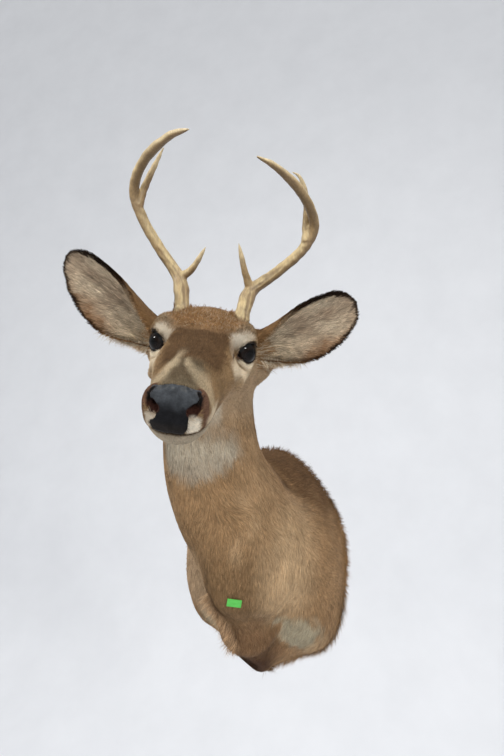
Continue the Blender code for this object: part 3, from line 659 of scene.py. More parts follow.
def markings(p):
    """Colour of the coat at points of the skin, ears apart."""
    n, s, r = neck_place(p)
    h = to_head(p)
    half = folded(h)
    side_l = h[:, 0]
    l, f, u = half.T
    x, y, z = p.T
    soft = ripple(p, 0.035, 21)
    fine = ripple(p, 0.012, 22)

    # trunk
    c = painted(p, TAN)
    c = over(c, RIM_BROWN, 0.9*ease(y+0.008*soft, -0.075, -0.015)*ease(z, -0.12, -0.02))
    c = over(c, DARK_BROWN, 0.98*ease(z+0.012*soft, 0.045, 0.108)*ease(y, -0.21, -0.13))
    c = over(c, DARK_BROWN, 0.65*ease(z+0.010*soft, 0.020, 0.070)*ease(y, -0.15, -0.07))
    # neck: duller in front, redder on the nape
    neck = ease(y+0.35*(z-0.05), -0.165, -0.215)
    front = ease(r, 0.0, 0.05)
    c = over(c, NECK_TAN, neck)
    c = over(c, NECK_SIDE, 0.8*neck*ease(np.abs(s+0.006), 0.034, 0.062)*ease(n, 0.24, 0.16))
    c = over(c, NECK_UPPER, 0.8*neck*ease(n, 0.115, 0.070)*ease(s, 0.020, 0.045))
    c = over(c, NECK_FRONT, neck*front*ease(n, 0.17, 0.26)*0.95)
    c = over(c, NAPE, 0.8*ease(r, -0.03, -0.075)*ease(n, 0.30, 0.2)*ease(y, -0.09, -0.15))
    # pale tan over the shoulder: paler hair, with painted light that lifts the shade of the crease
    # between breast and shoulder
    light = reach_of(folded(p), (0.066, -0.178, -0.008), (0.036, 0.090, 0.094))
    c = over(c, PALE_TAN, ease(light, 1.3, 0.45)*(0.9+0.1*soft)*ease(x, -0.12, 0.02))
    # brisket, darkening to the tip of the keel
    brisket = ease(z+0.010*soft, -0.055, -0.105)*ease(np.abs(x), 0.062, 0.035)
    c = over(c, BRISKET, brisket*ease(y, -0.02, -0.09))
    tip = ease(z-0.35*y+0.006*fine, -0.086, -0.110)*ease(x, 0.010, -0.008)*ease(x, -0.040, -0.012)
    c = over(c, TIP_BROWN, 0.7*tip*ease(y, -0.055, -0.085))
    dip = ease(z-0.25*y+0.005*fine, -0.083, -0.118)*ease(np.abs(x-0.004), 0.038, 0.010)
    c = over(c, KEEL_BROWN, 0.88*dip*ease(y, -0.030, -0.060))
    keel = bump_at(x+0.006+0.002*fine, 0.0, 0.0075)*ease(z, -0.065, -0.105)
    c = over(c, TIP_BROWN, 0.6*keel)
    # pale streaks at the cowlicks on the front of the neck: paler hair with painted sheen
    for centre in ((0.021, -0.272, 0.078), (0.023, -0.265, 0.022), (0.036, -0.250, 0.050)):
        q = (p-np.array(centre))/np.array([0.009, 0.02, 0.016])
        c = over(c, PALE_TAN, 0.42*np.exp(-(q*q).sum(1)))
    # white armpits under a sharp crease
    for centre in ((0.075, -0.104, -0.104), (-0.060, -0.110, -0.095)):
        armpit = reach_of(p, centre, (0.034, 0.060, 0.034))
        c = over(c, ARMPIT, ease(armpit+0.12*fine, 1.12, 0.50))
    far = reach_of(p, (-0.080, -0.135, -0.035), (0.030, 0.05, 0.055))
    c = over(c, FAR_SHOULDER, 0.55*ease(far+0.12*soft, 1.3, 0.4))
    streak = stroke(p, ((0.046, -0.154, -0.076, 0.005), (0.064, -0.128, -0.088, 0.010)))
    c = over(c, ARMPIT, 0.8*ease(streak+0.15*fine, 1.3, 0.5))
    corner = np.linalg.norm(p-np.array([0.092, -0.070, -0.125]), axis=1)
    c = over(c, PALE_TAN, 0.6*ease(corner, 0.030, 0.012))

    # head
    head = ease(f+0.25*(u+60)+4*soft, -88, -62)*ease(n, 0.085, 0.050)
    side = over(painted(p, CHEEK), JAW, ease(u+3*soft, -8, -52))
    side = over(side, JAW, 0.30*ease(f, 20, -40)*ease(u, 20, -10))
    # cheek brown down the neck under the left jaw: partly painted shade, matching the shaded edge of
    # the jaw
    side = over(side, CHEEK, 0.5*ease(f, 60, 30)*ease(side_l, 20, 40)*ease(u, -20, -45))
    side = over(side, FOREHEAD, ease(l+3*fine, 40, 27)*ease(u, 2, 14)*ease(f, 118, 96))
    side = over(side, BRIDGE, ease(l+2*fine, 26, 14)*ease(u, 6, 14)*ease(f, 92, 112))
    side = over(side, PAD_EDGE, 0.8*ease(l+2*fine, 24, 12)*ease(u, 6, 14)*ease(f+3*fine, 146, 166))
    # pale bands from the brow of the nose down behind the nostrils, a little apart on each side
    loose = h+0.8*fine[:, None]
    right_band = stroke(loose, ((-12, 72, 23, 3), (-12, 90, 23, 4.5), (-13, 108, 23, 6),
                                (-16, 124, 22, 7.5), (-18, 137, 19, 8.5), (-25, 140, 12, 7.5),
                                (-31, 134, 4, 6), (-36, 116, -8, 5.5)), 0.45)
    left_band = stroke(loose, ((0, 100, 25, 2.5), (2, 118, 25, 4.5), (7, 129, 23.5, 6),
                               (14, 136, 20, 7), (21, 141, 14.5, 7), (28, 145, 6, 5),
                               (32, 145, -4, 4), (33, 149, -13, 3.5)), 0.45)
    side = over(side, BAND, 0.78*ease(right_band+0.3*soft, 1.75, 0.1)*ease(f+3*fine, 66, 112))
    side = over(side, BAND, 0.62*ease(left_band+0.3*soft, 1.6, 0.2)*ease(f+3*fine, 92, 124))
    # paler below the deer's right eye
    cheek = stroke(loose, ((-45, 44, 4, 8), (-46, 60, -5, 10), (-42, 80, -8, 10), (-37, 98, -12, 8)))
    side = over(side, PALE_CHEEK, 0.75*ease(cheek+0.1*soft, 1.4, 0.4))
    # cap of coarse rufous hair over the crown
    edge = 21-0.030*np.clip(l-12, 0, 60)**2
    cap = ease(f+2.2*fine, edge+1.5, edge-3.5)*ease(u-0.25*(f+60), 2, 16)
    pedicle = capsule(half, (37, -44, 12), (42, -62, 40), 21, 17)
    cap = np.maximum(cap, ease(pedicle, 2, -3))
    side = over(side, CAP, cap)
    side = over(side, CAP_EDGE, 0.55*bump_at(f, edge-3, 4)*cap)
    # pale brow, ring and the patch in front of the eye
    ring_at = np.linalg.norm(half-np.array([49, 4, 4]), axis=1)
    left_brow = stroke(loose, ((57, -6, 20, 4), (52, 3, 21, 7.5), (45, 9, 18, 8.5), (39, 17, 15, 7.5),
                               (37, 28, 12, 5.5), (38, 40, 9, 4), (40, 52, 5, 3)))
    right_brow = stroke(loose, ((-54, 0, 20, 4), (-48, 5, 21, 6), (-43, 11, 18, 7), (-42, 18, 11, 6),
                                (-43, 27, 3, 4)))
    above = stroke(half, ((58, -12, 28, 4), (50, -6, 31, 7), (42, 2, 30, 7), (34, 10, 26, 5)))
    side = over(side, ABOVE_EYE, 0.6*ease(above, 1.5, 0.5))
    below = np.exp(-((l-53)/12)**2-((f-14)/24)**2-((u+19)/9)**2)
    patch = stroke(half+0.8*fine[:, None], ((43, 58, 0, 7), (46, 46, -4, 10.5), (52, 32, -10, 10),
                                            (59, 12, -14, 7)))
    side = over(side, BAND, np.clip(1.1*below, 0, 1)*0.7)
    side = over(side, RING, 0.82*ease(left_brow+0.15*fine, 1.6, 0.25)*(1-0.75*ease(f, 14, 32))
                * (1-0.4*ease(f, 8, -8)))
    side = over(side, RING, 0.9*ease(right_brow+0.15*fine, 1.6, 0.25)*(1-0.45*ease(f, 18, 34)))
    bright = np.linalg.norm(h-np.array([44, 9, 20]), axis=1)
    side = over(side, BRIGHT_BROW, 0.5*ease(bright+1.5*fine, 12, 1))
    side = over(side, CREAM, 0.85*ease(patch+0.2*fine, 1.75, 0.2)*ease(f, 74, 56))
    side = over(side, BEHIND_EYE, 0.6*bump_at(ring_at, 24, 5)*ease(f, 30, 0)*ease(u, 22, 5))
    # lids and tear duct
    shape, out, ex, ey = almond(half)
    corner = np.clip(np.abs(ex)/EYE_OPENING_MM[0], 0, 1)
    # cream under the lower lid, painted brighter to lift the shadow of the lid's bulge: partly painted
    # light
    side = over(side, LID_CREAM_AND_PAINTED_LIGHT, 0.85*ease(shape, 1.75, 1.30)*ease(-ey, 1, 7)*ease(out, -2, 4)
                * ease(-ex, -9, 0))
    lid = ease(shape+0.03*fine, 1.22-0.10*corner, 1.06)*ease(out, 2, 6)
    side = over(side, LID_BROWN, lid*0.9)
    side = over(side, BLACK, ease(shape, 1.11, 1.04)*ease(out, 2, 6))
    duct = stroke(half, ((45, 13, 0, 3.2), (43, 22, 5, 2.6), (41, 36, 7, 2.0), (41, 48, 7, 1.2)))
    side = over(side, DUCT_BROWN, 0.9*ease(duct, 1.5, 0.6))
    # muzzle: brown wing round the nostril, white lips and chin
    wing = np.minimum(capsule(half, (24, 164, 20), (29, 173, 6), 5.5, 5.5),
                      capsule(half, (29, 173, 6), (29, 170, -6), 5.5, 4.5))
    wing = np.minimum(wing, capsule(half, (29, 170, -6), (26, 168, -19), 3.8, 2.4))
    side = over(side, WING, ease(wing+0.8*fine, 2.0, -1.0))
    hole = ease(nostril(half), 1.4, 0.3)
    side = over(side, NOSTRIL, hole)
    # painted shade: black deep in the upper slit of each nostril
    side = over(side, BLACK, hole*ease(u, 5, 10))
    line = mouth_line(f)
    lip = ease(u-0.10*(f-150)+1.2*fine, -2, -7)*ease(f, 150, 160)*ease(l, 11, 14)
    side = over(side, LIP, lip*ease(u, line+2, line+6)*ease(l+0.5*fine, 25, 21)
                * np.where(side_l < 0, 0.7, 1.0))
    side = over(side, CREAM, 0.6*ease(u+1.2*fine, -2, -8)*ease(f, 118, 135)*ease(l, 27, 30)
                * ease(u, line, line+2))
    chin = ease(u, line, line-3)*ease(f, 104, 132)
    side = over(side, CHIN, chin*0.95)
    side = over(side, WHITE, ease(u+2*fine, -40, -54)*ease(l+2*fine, 34, 22)*0.95)
    corner = np.exp(-((f-113)/7)**2-((u-line)/5)**2)
    side = over(side, SOOT, 0.8*corner)
    # black line between the lips, thickest under the pad: dark lip skin with the painted shadow of the
    # upper lip
    mouth = bump_at(u, line+0.6, 2.4)*ease(f, 112, 124)*(0.5+0.5*ease(f, 140, 160))
    side = over(side, BLACK, mouth)
    side = over(side, BLACK, nose_pad_mask(h))
    c = c*(1-head[:, None])+side*head[:, None]

    # throat patch
    edge = ease(np.abs(s+0.006+0.002*fine), 0.055, 0.040)*ease(r, -0.005, 0.02)
    drop = ease(n+0.003*soft+0.003*fine+0.20*np.abs(s+0.006), 0.138, 0.119)
    top = ease(n-0.25*s+0.004*fine, 0.056, 0.094)
    return over(c, over(painted(p, THROAT), THROAT_LOW, ease(n, 0.085, 0.125)), edge*drop*top)


# ---- meshes ----------------------------------------------------------------------------
def add_object(name, data):
    ob = bpy.data.objects.new(name, data)
    bpy.context.scene.collection.objects.link(ob)
    return ob


def mesh_object(name, verts, loops, sizes, material=None):
    """Object from flat arrays: vertex places, loop vertices and face sizes."""
    mesh = bpy.data.meshes.new(name)
    mesh.vertices.add(len(verts))
    mesh.vertices.foreach_set("co", np.asarray(verts, np.float32).ravel())
    mesh.loops.add(len(loops))
    mesh.loops.foreach_set("vertex_index", np.asarray(loops, np.int32))
    mesh.polygons.add(len(sizes))
    starts = np.concatenate([[0], np.cumsum(sizes)[:-1]])
    mesh.polygons.foreach_set("loop_start", starts.astype(np.int32))
    mesh.polygons.foreach_set("loop_total", np.asarray(sizes, np.int32))
    mesh.update(calc_edges=True)
    mesh.validate()
    mesh.shade_smooth()
    if material:
        mesh.materials.append(material)
    return add_object(name, mesh)


def faces_object(name, verts, faces, material=None):
    sizes = [len(f) for f in faces]
    loops = np.concatenate([np.asarray(f) for f in faces])
    return mesh_object(name, verts, loops, sizes, material)


def vertex_values(mesh, key):
    v = np.empty(len(mesh.vertices)*3, np.float32)
    mesh.vertices.foreach_get(key, v)
    return v.reshape(-1, 3)


def places(mesh):
    return vertex_values(mesh, "co").astype(float)


def put_places(mesh, verts):
    mesh.vertices.foreach_set("co", verts.astype(np.float32).ravel())


def put_colour(mesh, colours):
    """The coat's colour, which the materials read as coat."""
    layer = mesh.color_attributes.new("coat", "FLOAT_COLOR", "POINT")
    rgba = np.ones((len(colours), 4), np.float32)
    rgba[:, :3] = np.clip(colours, 0, 1)
    layer.data.foreach_set("color", rgba.ravel())


def put_value(mesh, values, name):
    layer = mesh.attributes.new(name, "FLOAT", "POINT")
    layer.data.foreach_set("value", np.asarray(values, np.float32))


def one_material(ob, material):
    ob.data.materials.clear()
    ob.data.materials.append(material)
    ob.data.shade_smooth()


def refine(bm, wanted):
    """Split the edges of the faces whose centres are wanted."""
    centres = np.array([f.calc_center_median() for f in bm.faces])
    keep = np.nonzero(wanted(centres))[0]
    bm.faces.ensure_lookup_table()
    edges = list(dict.fromkeys(e for i in keep for e in bm.faces[i].edges))      # always in one order
    bmesh.ops.subdivide_edges(bm, edges=edges, cuts=1, use_grid_fill=True)


def apply_modifiers(ob):
    graph = bpy.context.evaluated_depsgraph_get()
    mesh = bpy.data.meshes.new_from_object(ob.evaluated_get(graph))
    ob.modifiers.clear()
    ob.data = mesh


def faces_in_order(mesh):
    """The faces, each from its first vertex, sorted: Blender's own order changes between runs."""
    faces = []
    for polygon in mesh.polygons:
        ring = list(polygon.vertices)
        first = ring.index(min(ring))
        faces.append(tuple(ring[first:]+ring[:first]))
    return sorted(faces)


def skin_mesh():
    """The whole hide in one mesh: 4 mm on the body, 2 mm on the head, 1 mm round eyes and nose."""
    def clipped(p):
        return np.maximum(skin_field(p), p[..., 1]-0.012)
    verts, quads = surface_nets(clipped, (-0.182, -0.548, -0.200), (0.182, 0.020, 0.330),
                                SKIN_CELL)
    bm = bmesh.new()
    for v in verts:
        bm.verts.new(v)
    bm.verts.ensure_lookup_table()
    for q in quads:
        bm.faces.new([bm.verts[i] for i in q])

    def on_head(c):
        return to_head(c)[:, 1] > -75

    def on_face(c):
        h = folded(to_head(c))
        eye = np.linalg.norm(h-np.array(EYE_CENTRE_MM), axis=1) < 33
        return eye | (h[:, 1] > 152)
    refine(bm, on_head)
    refine(bm, on_face)
    mesh = bpy.data.meshes.new("hide")
    bm.to_mesh(mesh)
    bm.free()
    put_places(mesh, settle(clipped, places(mesh)))
    bm = bmesh.new()
    bm.from_mesh(mesh)
    bmesh.ops.bisect_plane(bm, geom=bm.verts[:]+bm.edges[:]+bm.faces[:], dist=1e-6,
                           plane_co=(0, BACK_FACE, 0), plane_no=(0, 1, 0), clear_outer=True)
    rim = [e for e in bm.edges if e.is_boundary]
    close_round_board(bm, rim)
    bmesh.ops.recalc_face_normals(bm, faces=bm.faces[:])
    bm.to_mesh(mesh)
    bm.free()
    verts, faces = places(mesh), faces_in_order(mesh)
    bpy.data.meshes.remove(mesh)
    return faces_object("skin", verts, faces)


def close_round_board(bm, rim):
    """Turn the hide in behind, round the edge of the board and over its front."""
    def ring(edges, place):
        made = bmesh.ops.extrude_edge_only(bm, edges=edges)["geom"]
        for v in (g for g in made if isinstance(g, bmesh.types.BMVert)):
            v.co = place(v.co)
        return [g for g in made if isinstance(g, bmesh.types.BMEdge)]

    def board_edge(co):
        angle = np.arctan2(co.z, co.x) % (2*np.pi)
        reach = np.interp(angle, board_angles, board_reach)
        return Vector((reach*np.cos(angle), co.y, reach*np.sin(angle)))
    rim = ring(rim, board_edge)
    rim = ring(rim, lambda co: Vector((co.x, -BOARD_THICK-0.0006, co.z)))
    bmesh.ops.holes_fill(bm, edges=rim)


def back_reach(count=90):
    """Reach of the hide's outline at the wall in every direction, less the board's inset."""
    angles = 2*np.pi*np.arange(count+1)/count
    out = []
    reach = np.linspace(0.02, 0.25, 461)
    for a in angles:
        d = hide_field(np.array([0, -0.010, 0])
                       + np.array([np.cos(a), 0, np.sin(a)])*reach[:, None])
        out.append(reach[np.nonzero(d > 0)[0][0]]-BOARD_INSET+0.0008)
    return angles, np.array(out)


# ---- materials -------------------------------------------------------------------------
class Nodes:
    """Short hand for building a node material."""

    def __init__(self, name, roughness=0.6, **sockets):
        self.mat = bpy.data.materials.new(name)
        self.mat.use_nodes = True
        self.tree = self.mat.node_tree
        self.shader = self.tree.nodes["Principled BSDF"]
        self.set("Roughness", roughness)
        for key, value in sockets.items():
            self.set(key.replace("_", " "), value)

    def set(self, key, value):
        self.shader.inputs[key].default_value = value

    def node(self, kind, **settings):
        n = self.tree.nodes.new(kind)
        for key, value in settings.items():
            if hasattr(n, key):
                setattr(n, key, value)
            else:
                n.inputs[key.replace("_", " ")].default_value = value
        return n

    def link(self, a, b):
        self.tree.links.new(a, b)

    def coords(self, rotation=(0, 0, 0), scale=(1, 1, 1)):
        tc = self.node("ShaderNodeTexCoord")
        mp = self.node("ShaderNodeMapping", Rotation=rotation, Scale=scale)
        self.link(tc.outputs["Object"], mp.inputs["Vector"])
        return mp.outputs["Vector"]

    def noise(self, vector, scale, detail=4.0, rough=0.6):
        n = self.node("ShaderNodeTexNoise", Scale=scale, Detail=detail, Roughness=rough)
        self.link(vector, n.inputs["Vector"])
        return n.outputs["Fac"]

    def ramp(self, value, *stops):
        n = self.node("ShaderNodeValToRGB")
        ramp = n.color_ramp
        while len(ramp.elements) < len(stops):
            ramp.elements.new(0.5)
        for element, (place, colour) in zip(ramp.elements, stops):
            element.position = place
            if isinstance(colour, (int, float)):
                colour = (colour, colour, colour)
            element.color = (*colour, 1)
        self.link(value, n.inputs["Fac"])
        return n.outputs["Color"]

    def mix(self, a, b, factor, blend="MIX"):
        n = self.node("ShaderNodeMix", data_type="RGBA", blend_type=blend)
        for socket, value in ((n.inputs[0], factor), (n.inputs[6], a), (n.inputs[7], b)):
            if isinstance(value, bpy.types.NodeSocket):
                self.link(value, socket)
            elif isinstance(value, (int, float)):
                socket.default_value = value
            else:
                socket.default_value = (*value, 1)
        return n.outputs[2]

    def times(self, a, b):
        return self.mix(a, b, 1.0, "MULTIPLY")

    def attribute(self, name):
        return self.node("ShaderNodeAttribute", attribute_name=name).outputs

    def bump(self, height, strength, distance):
        n = self.node("ShaderNodeBump", Strength=strength, Distance=distance)
        self.link(height, n.inputs["Height"])
        previous = self.shader.inputs["Normal"].links
        if previous:
            self.link(previous[0].from_socket, n.inputs["Normal"])
        self.link(n.outputs["Normal"], self.shader.inputs["Normal"])

    def colour(self, value):
        self.link(value, self.shader.inputs["Base Color"])

    def rough(self, value):
        self.link(value, self.shader.inputs["Roughness"])


def hair_material():
    m = Nodes("coat_hair", 0.62, Specular_IOR_Level=0.05)
    base = m.attribute("coat")["Color"]
    where = m.coords()
    blotch = m.ramp(m.noise(where, 38, 3), (0.35, 0.88), (0.65, 1.10))
    fine = m.ramp(m.noise(where, 900, 2), (0.3, 0.88), (0.7, 1.12))
    m.colour(m.times(m.times(base, blotch), fine))
    m.rough(m.ramp(m.noise(where, 260, 2), (0.3, 0.55), (0.7, 0.72)))
    m.bump(m.noise(where, 1400, 2), 0.25, 0.0004)
    return m.mat


def skin_material():
    """Short hair lying close: stretched noise along the lie of the coat."""
    m = Nodes("hide", 0.7, Specular_IOR_Level=0.05)
    base = m.attribute("coat")["Color"]
    body = m.coords(rotation=(0.35, 0, 0), scale=(1.0, 0.35, 0.16))
    turn = Matrix([HEAD_AXES[:, k] for k in range(3)]).to_euler()
    face = m.coords(rotation=tuple(turn), scale=(1.0, 0.16, 1.0))
    head = m.attribute("on_head")["Fac"]
    hairs = m.mix(m.noise(body, 520, 3, 0.65), m.noise(face, 850, 3, 0.65), head)
    m.colour(m.times(base, m.ramp(hairs, (0.30, 0.62), (0.70, 1.18))))
    m.rough(m.ramp(hairs, (0.3, 0.62), (0.7, 0.80)))
    m.bump(hairs, 0.7, 0.0012)
    return m.mat


def nose_material():
    """Dark leathery pad, lighter on top with dust and painted sheen, with fine pebbling; red-brown
    inside the nostrils, with painted shade deep in their slits.
    """
    m = Nodes("nose_leather", 0.42, Specular_IOR_Level=0.07)
    where = m.coords()
    base = m.attribute("coat")["Color"]
    dust = m.ramp(m.noise(where, 160, 5, 0.65), (0.40, 0.75), (0.72, 1.5))
    m.colour(m.times(base, dust))
    cells = m.node("ShaderNodeTexVoronoi", feature="DISTANCE_TO_EDGE", Scale=720)
    m.link(where, cells.inputs["Vector"])
    pebble = m.ramp(cells.outputs["Distance"], (0.0, 0.0), (0.22, 1.0))
    m.rough(m.ramp(m.noise(where, 240, 4), (0.3, 0.30), (0.7, 0.52)))
    m.bump(pebble, 0.45, 0.0004)
    m.bump(m.noise(where, 420, 4), 0.35, 0.0006)
    return m.mat


def eye_material():
    """Glass taxidermy eye: near-black brown iris, oval pupil, glossy surface."""
    m = Nodes("glass_eye", 0.04, Specular_IOR_Level=0.13)
    iris = m.attribute("iris")["Fac"]
    where = m.coords()
    fleck = m.ramp(m.noise(where, 420, 4), (0.35, 0.7), (0.65, 1.25))
    tint = m.ramp(iris, (0.0, (0.002, 0.002, 0.002)), (0.40, (0.002, 0.002, 0.002)),
                  (0.50, (0.004, 0.0025, 0.002)), (0.78, (0.008, 0.004, 0.0025)),
                  (0.90, (0.002, 0.002, 0.002)))
    m.colour(m.times(tint, fleck))
    m.rough(m.ramp(m.noise(where, 90, 2), (0.3, 0.03), (0.7, 0.07)))
    return m.mat


def lid_material():
    m = Nodes("eyelid", 0.6, Specular_IOR_Level=0.16)
    where = m.coords()
    blotch = m.noise(where, 300, 4)
    m.colour(m.ramp(blotch, (0.35, (0.008, 0.006, 0.005)), (0.7, (0.026, 0.016, 0.011))))
    m.rough(m.ramp(m.noise(where, 500, 3), (0.3, 0.42), (0.7, 0.7)))
    m.bump(m.noise(where, 800, 3), 0.4, 0.0004)
    return m.mat


def antler_material():
    m = Nodes("antler_bone", 0.45, Specular_IOR_Level=0.42)
    base = m.attribute("coat")["Color"]
    where = m.coords()
    streak = m.coords(scale=(1, 1, 0.22))
    grain = m.noise(streak, 420, 5, 0.62)
    mottle = m.noise(where, 70, 5, 0.6)
    c = m.times(base, m.ramp(grain, (0.36, 0.78), (0.64, 1.10)))
    m.colour(m.times(c, m.ramp(mottle, (0.35, 0.88), (0.68, 1.08))))
    m.rough(m.ramp(grain, (0.3, 0.58), (0.7, 0.36)))
    m.bump(grain, 0.5, 0.0008)
    m.bump(m.noise(where, 900, 3), 0.2, 0.0003)
    return m.mat


def wood_material():
    m = Nodes("pine_board", 0.7)
    where = m.coords(scale=(1, 1, 0.1))
    wave = m.node("ShaderNodeTexWave", bands_direction="X", Scale=26, Distortion=5.5, Detail=4,
                  Detail_Scale=1.6)
    m.link(where, wave.inputs["Vector"])
    grain = wave.outputs["Fac"]
    fibre = m.noise(where, 900, 4, 0.7)
    c = m.ramp(grain, (0.1, (0.36, 0.21, 0.10)), (0.9, (0.58, 0.40, 0.22)))
    m.colour(m.times(c, m.ramp(fibre, (0.3, 0.78), (0.7, 1.08))))
    m.rough(m.ramp(fibre, (0.3, 0.62), (0.7, 0.82)))
    m.bump(m.mix(grain, fibre, 0.6), 0.35, 0.0006)
    return m.mat


def steel_material():
    m = Nodes("zinc_hanger", 0.35, Metallic=1.0)
    where = m.coords(scale=(1, 1, 0.1))
    brushed = m.noise(where, 1500, 3)
    blotch = m.noise(m.coords(), 130, 4)
    m.colour(m.ramp(blotch, (0.35, (0.46, 0.46, 0.47)), (0.7, (0.62, 0.62, 0.61))))
    m.rough(m.ramp(brushed, (0.3, 0.26), (0.7, 0.48)))
    m.bump(brushed, 0.2, 0.0002)
    return m.mat


def tag_material():
    m = Nodes("green_sticker", 0.5)
    where = m.coords()
    m.colour(m.ramp(m.noise(where, 240, 4), (0.3, (0.062, 0.38, 0.048)), (0.7, (0.082, 0.47, 0.066))))
    m.rough(m.ramp(m.noise(where, 500, 3), (0.3, 0.42), (0.7, 0.60)))
    m.bump(m.noise(where, 220, 3), 0.3, 0.0005)
    return m.mat


# ---- the coat ----------------------------------------------------------------------------
def scatter(mesh, density):
    """Roots over a mesh, density in tufts per square centimetre at face centres."""
    mesh.calc_loop_triangles()
    tri = np.empty(len(mesh.loop_triangles)*3, np.int32)
    mesh.loop_triangles.foreach_get("vertices", tri)
    tri = tri.reshape(-1, 3)
    v = places(mesh)
    a, b, c = v[tri[:, 0]], v[tri[:, 1]], v[tri[:, 2]]
    area = np.linalg.norm(np.cross(b-a, c-a), axis=1)/2*1e4
    mean = area*density((a+b+c)/3)
    count = np.floor(mean+rng.random(len(mean))).astype(int)
    pick = np.repeat(np.arange(len(tri)), count)
    w = rng.random((len(pick), 2))
    low = w.sum(1) > 1
    w[low] = 1-w[low]
    w0 = 1-w.sum(1)
    where = a[pick]*w0[:, None]+b[pick]*w[:, :1]+c[pick]*w[:, 1:]
    return where, tri[pick], np.column_stack([w0, w])


def turn_about(v, axis, angle):
    c, s = np.cos(angle)[:, None], np.sin(angle)[:, None]
    return v*c+np.cross(axis, v)*s+axis*(axis*v).sum(1)[:, None]*(1-c)


SHORT_BLADE = ((0, 0.5, 1.0), (0.75, 0.85, 0))                  # shares of length, widths there
LONG_BLADE = ((0, 0.38, 0.74, 1.0), (0.75, 1.0, 0.68, 0))
BAKE_PATCH = (0.0007, 0.0026)                                   # half width and height of a tuft's UV


def tuft_piece(name, root, normal, flow, length, width, lift, colours, uv, material, blade,
               field=None, roll=0.22, free=None):
    """Joined tufts: flat tapering blades that rise from their roots and lie along the coat.

    With a field, the blades keep their height over its surface, save where they are free."""
    shares, widths = (np.array(row) for row in blade)
    rise = np.sin(shares*np.pi/2)**0.85
    side = np.cross(flow, normal)
    angle = rng.normal(0, roll, len(root))
    side = side*np.cos(angle)[:, None]+normal*np.sin(angle)[:, None]
    spine = []
    for t, g in zip(shares, rise):
        p = root+flow*(length*t)[:, None]+normal*(lift*g-0.0004)[:, None]
        if field is not None and t > 0:
            p += normal*((lift*g-field(p))*(1-free))[:, None]
        p[:, 1] = np.minimum(p[:, 1], -0.0008-0.002*t*rng.random(len(p)))
        spine.append(p)
    count = len(root)
    per = 2*(len(shares)-1)+1
    verts = np.empty((count, per, 3))
    tints = np.empty((count, per, 3))
    patch = np.empty((count, per, 2))
    for k, (t, w) in enumerate(zip(shares, widths)):
        tone = np.interp(t, [0, 0.5, 1], [0, 1, 2])
        low = min(int(tone), 1)
        colour = colours[low]*(1-(tone-low))+colours[low+1]*(tone-low)
        along_v = (t-0.5)*BAKE_PATCH[1]
        if w:
            verts[:, 2*k] = spine[k]-side*(width*w/2)[:, None]
            verts[:, 2*k+1] = spine[k]+side*(width*w/2)[:, None]
            tints[:, 2*k] = tints[:, 2*k+1] = colour
            patch[:, 2*k] = uv+(-BAKE_PATCH[0], along_v)
            patch[:, 2*k+1] = uv+(BAKE_PATCH[0], along_v)
        else:
            verts[:, 2*k] = spine[k]
            tints[:, 2*k] = colour
            patch[:, 2*k] = uv+(0, along_v)
    faces = [[2*k, 2*k+1, 2*k+3, 2*k+2] for k in range(len(shares)-2)]
    faces.append([per-3, per-2, per-1])
    local = np.concatenate(faces)
    loops = (local[None]+per*np.arange(count)[:, None]).ravel()
    sizes = np.tile([len(f) for f in faces], count)
    ob = mesh_object(name, verts.reshape(-1, 3), loops, sizes, material)
    put_colour(ob.data, tints.reshape(-1, 3))
    layer = ob.data.uv_layers.new(name="OFBake")
    flat = np.clip(patch.reshape(-1, 2)[loops], 0, 1)
    layer.data.foreach_set("uv", flat.astype(np.float32).ravel())
    finish_piece(ob, "fur")


def finish_piece(ob, slot, *nodes):
    """Ride on the body and stand for CAD nodes. The slot is not used."""
    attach(ob, BODY)
    if nodes:
        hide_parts(*nodes)


def ways(count, x, y, z):
    """One direction for each root, from numbers and arrays."""
    return np.stack([np.broadcast_to(np.asarray(c, float), count) for c in (x, y, z)], 1)


def lie_of_coat(p):
    """Direction of the hair before it is laid on the skin, and how far each root is on the head."""
    n, s, r = neck_place(p)
    h = to_head(p)
    count = len(p)
    half = folded(h)
    l, f, u = half.T
    sign = np.sign(h[:, 0])
    x, y, z = p.T
    down_neck = unit(NECK_LOW-NECK_TOP)
    # trunk: back towards the wall, dropping lower down; breast falls to the keel
    trunk = ways(count, 0.10*np.sign(x), 0.92, -0.38)
    low = ease(z, -0.03, -0.09)[:, None]
    keel = ways(count, -0.35*np.sign(x)*ease(np.abs(x), 0.0, 0.03), 0.42, -0.85)
    trunk = trunk*(1-low)+keel*low
    on_neck = ease(y+0.30*(z-0.06), -0.150, -0.215)[:, None]
    neck = down_neck[None]+ways(count, 0.16*ease(r, 0.02, -0.05)*np.sign(s), 0, 0)
    breast = ways(count, 0, 0.30, -0.95)
    mid = ease(n, 0.22, 0.32)[:, None]
    neck = neck*(1-mid)+breast*mid
    way = trunk*(1-on_neck)+neck*on_neck
    # head: from the nose backwards, parting round eye and ear
    back = ways(count, 0.10*sign*ease(l, 4, 20)+0.25*sign*ease(f, -20, -60), -1.0,
                -0.30*ease(u, 10, -30)+0.25*ease(f, 30, -10)*ease(u, 10, 25))
    eye = half-np.array(EYE_CENTRE_MM)
    reach = np.linalg.norm(eye, axis=1)
    part = eye/np.maximum(reach, 1)[:, None]*ease(reach, 44, 22)[:, None]*0.9
    part[:, 0] *= sign
    back = back+part
    ear = half-np.array([62, -62, -3])
    pull = np.exp(-(np.linalg.norm(ear, axis=1)/34)**2)[:, None]
    outward = ways(count, sign*0.9, -0.2, 0.45)
    back = back*(1-pull)+outward*pull
    under = ease(u, -40, -70)[:, None]*ease(f, 60, 0)[:, None]
    on_head = ease(f+0.25*(u+60), -88, -52)*ease(n, 0.090, 0.045)
    head = back @ HEAD_AXES.T
    head = head*(1-0.6*under)+down_neck*0.6*under
    way = way*(1-on_head[:, None])+head*on_head[:, None]
    return way, on_head


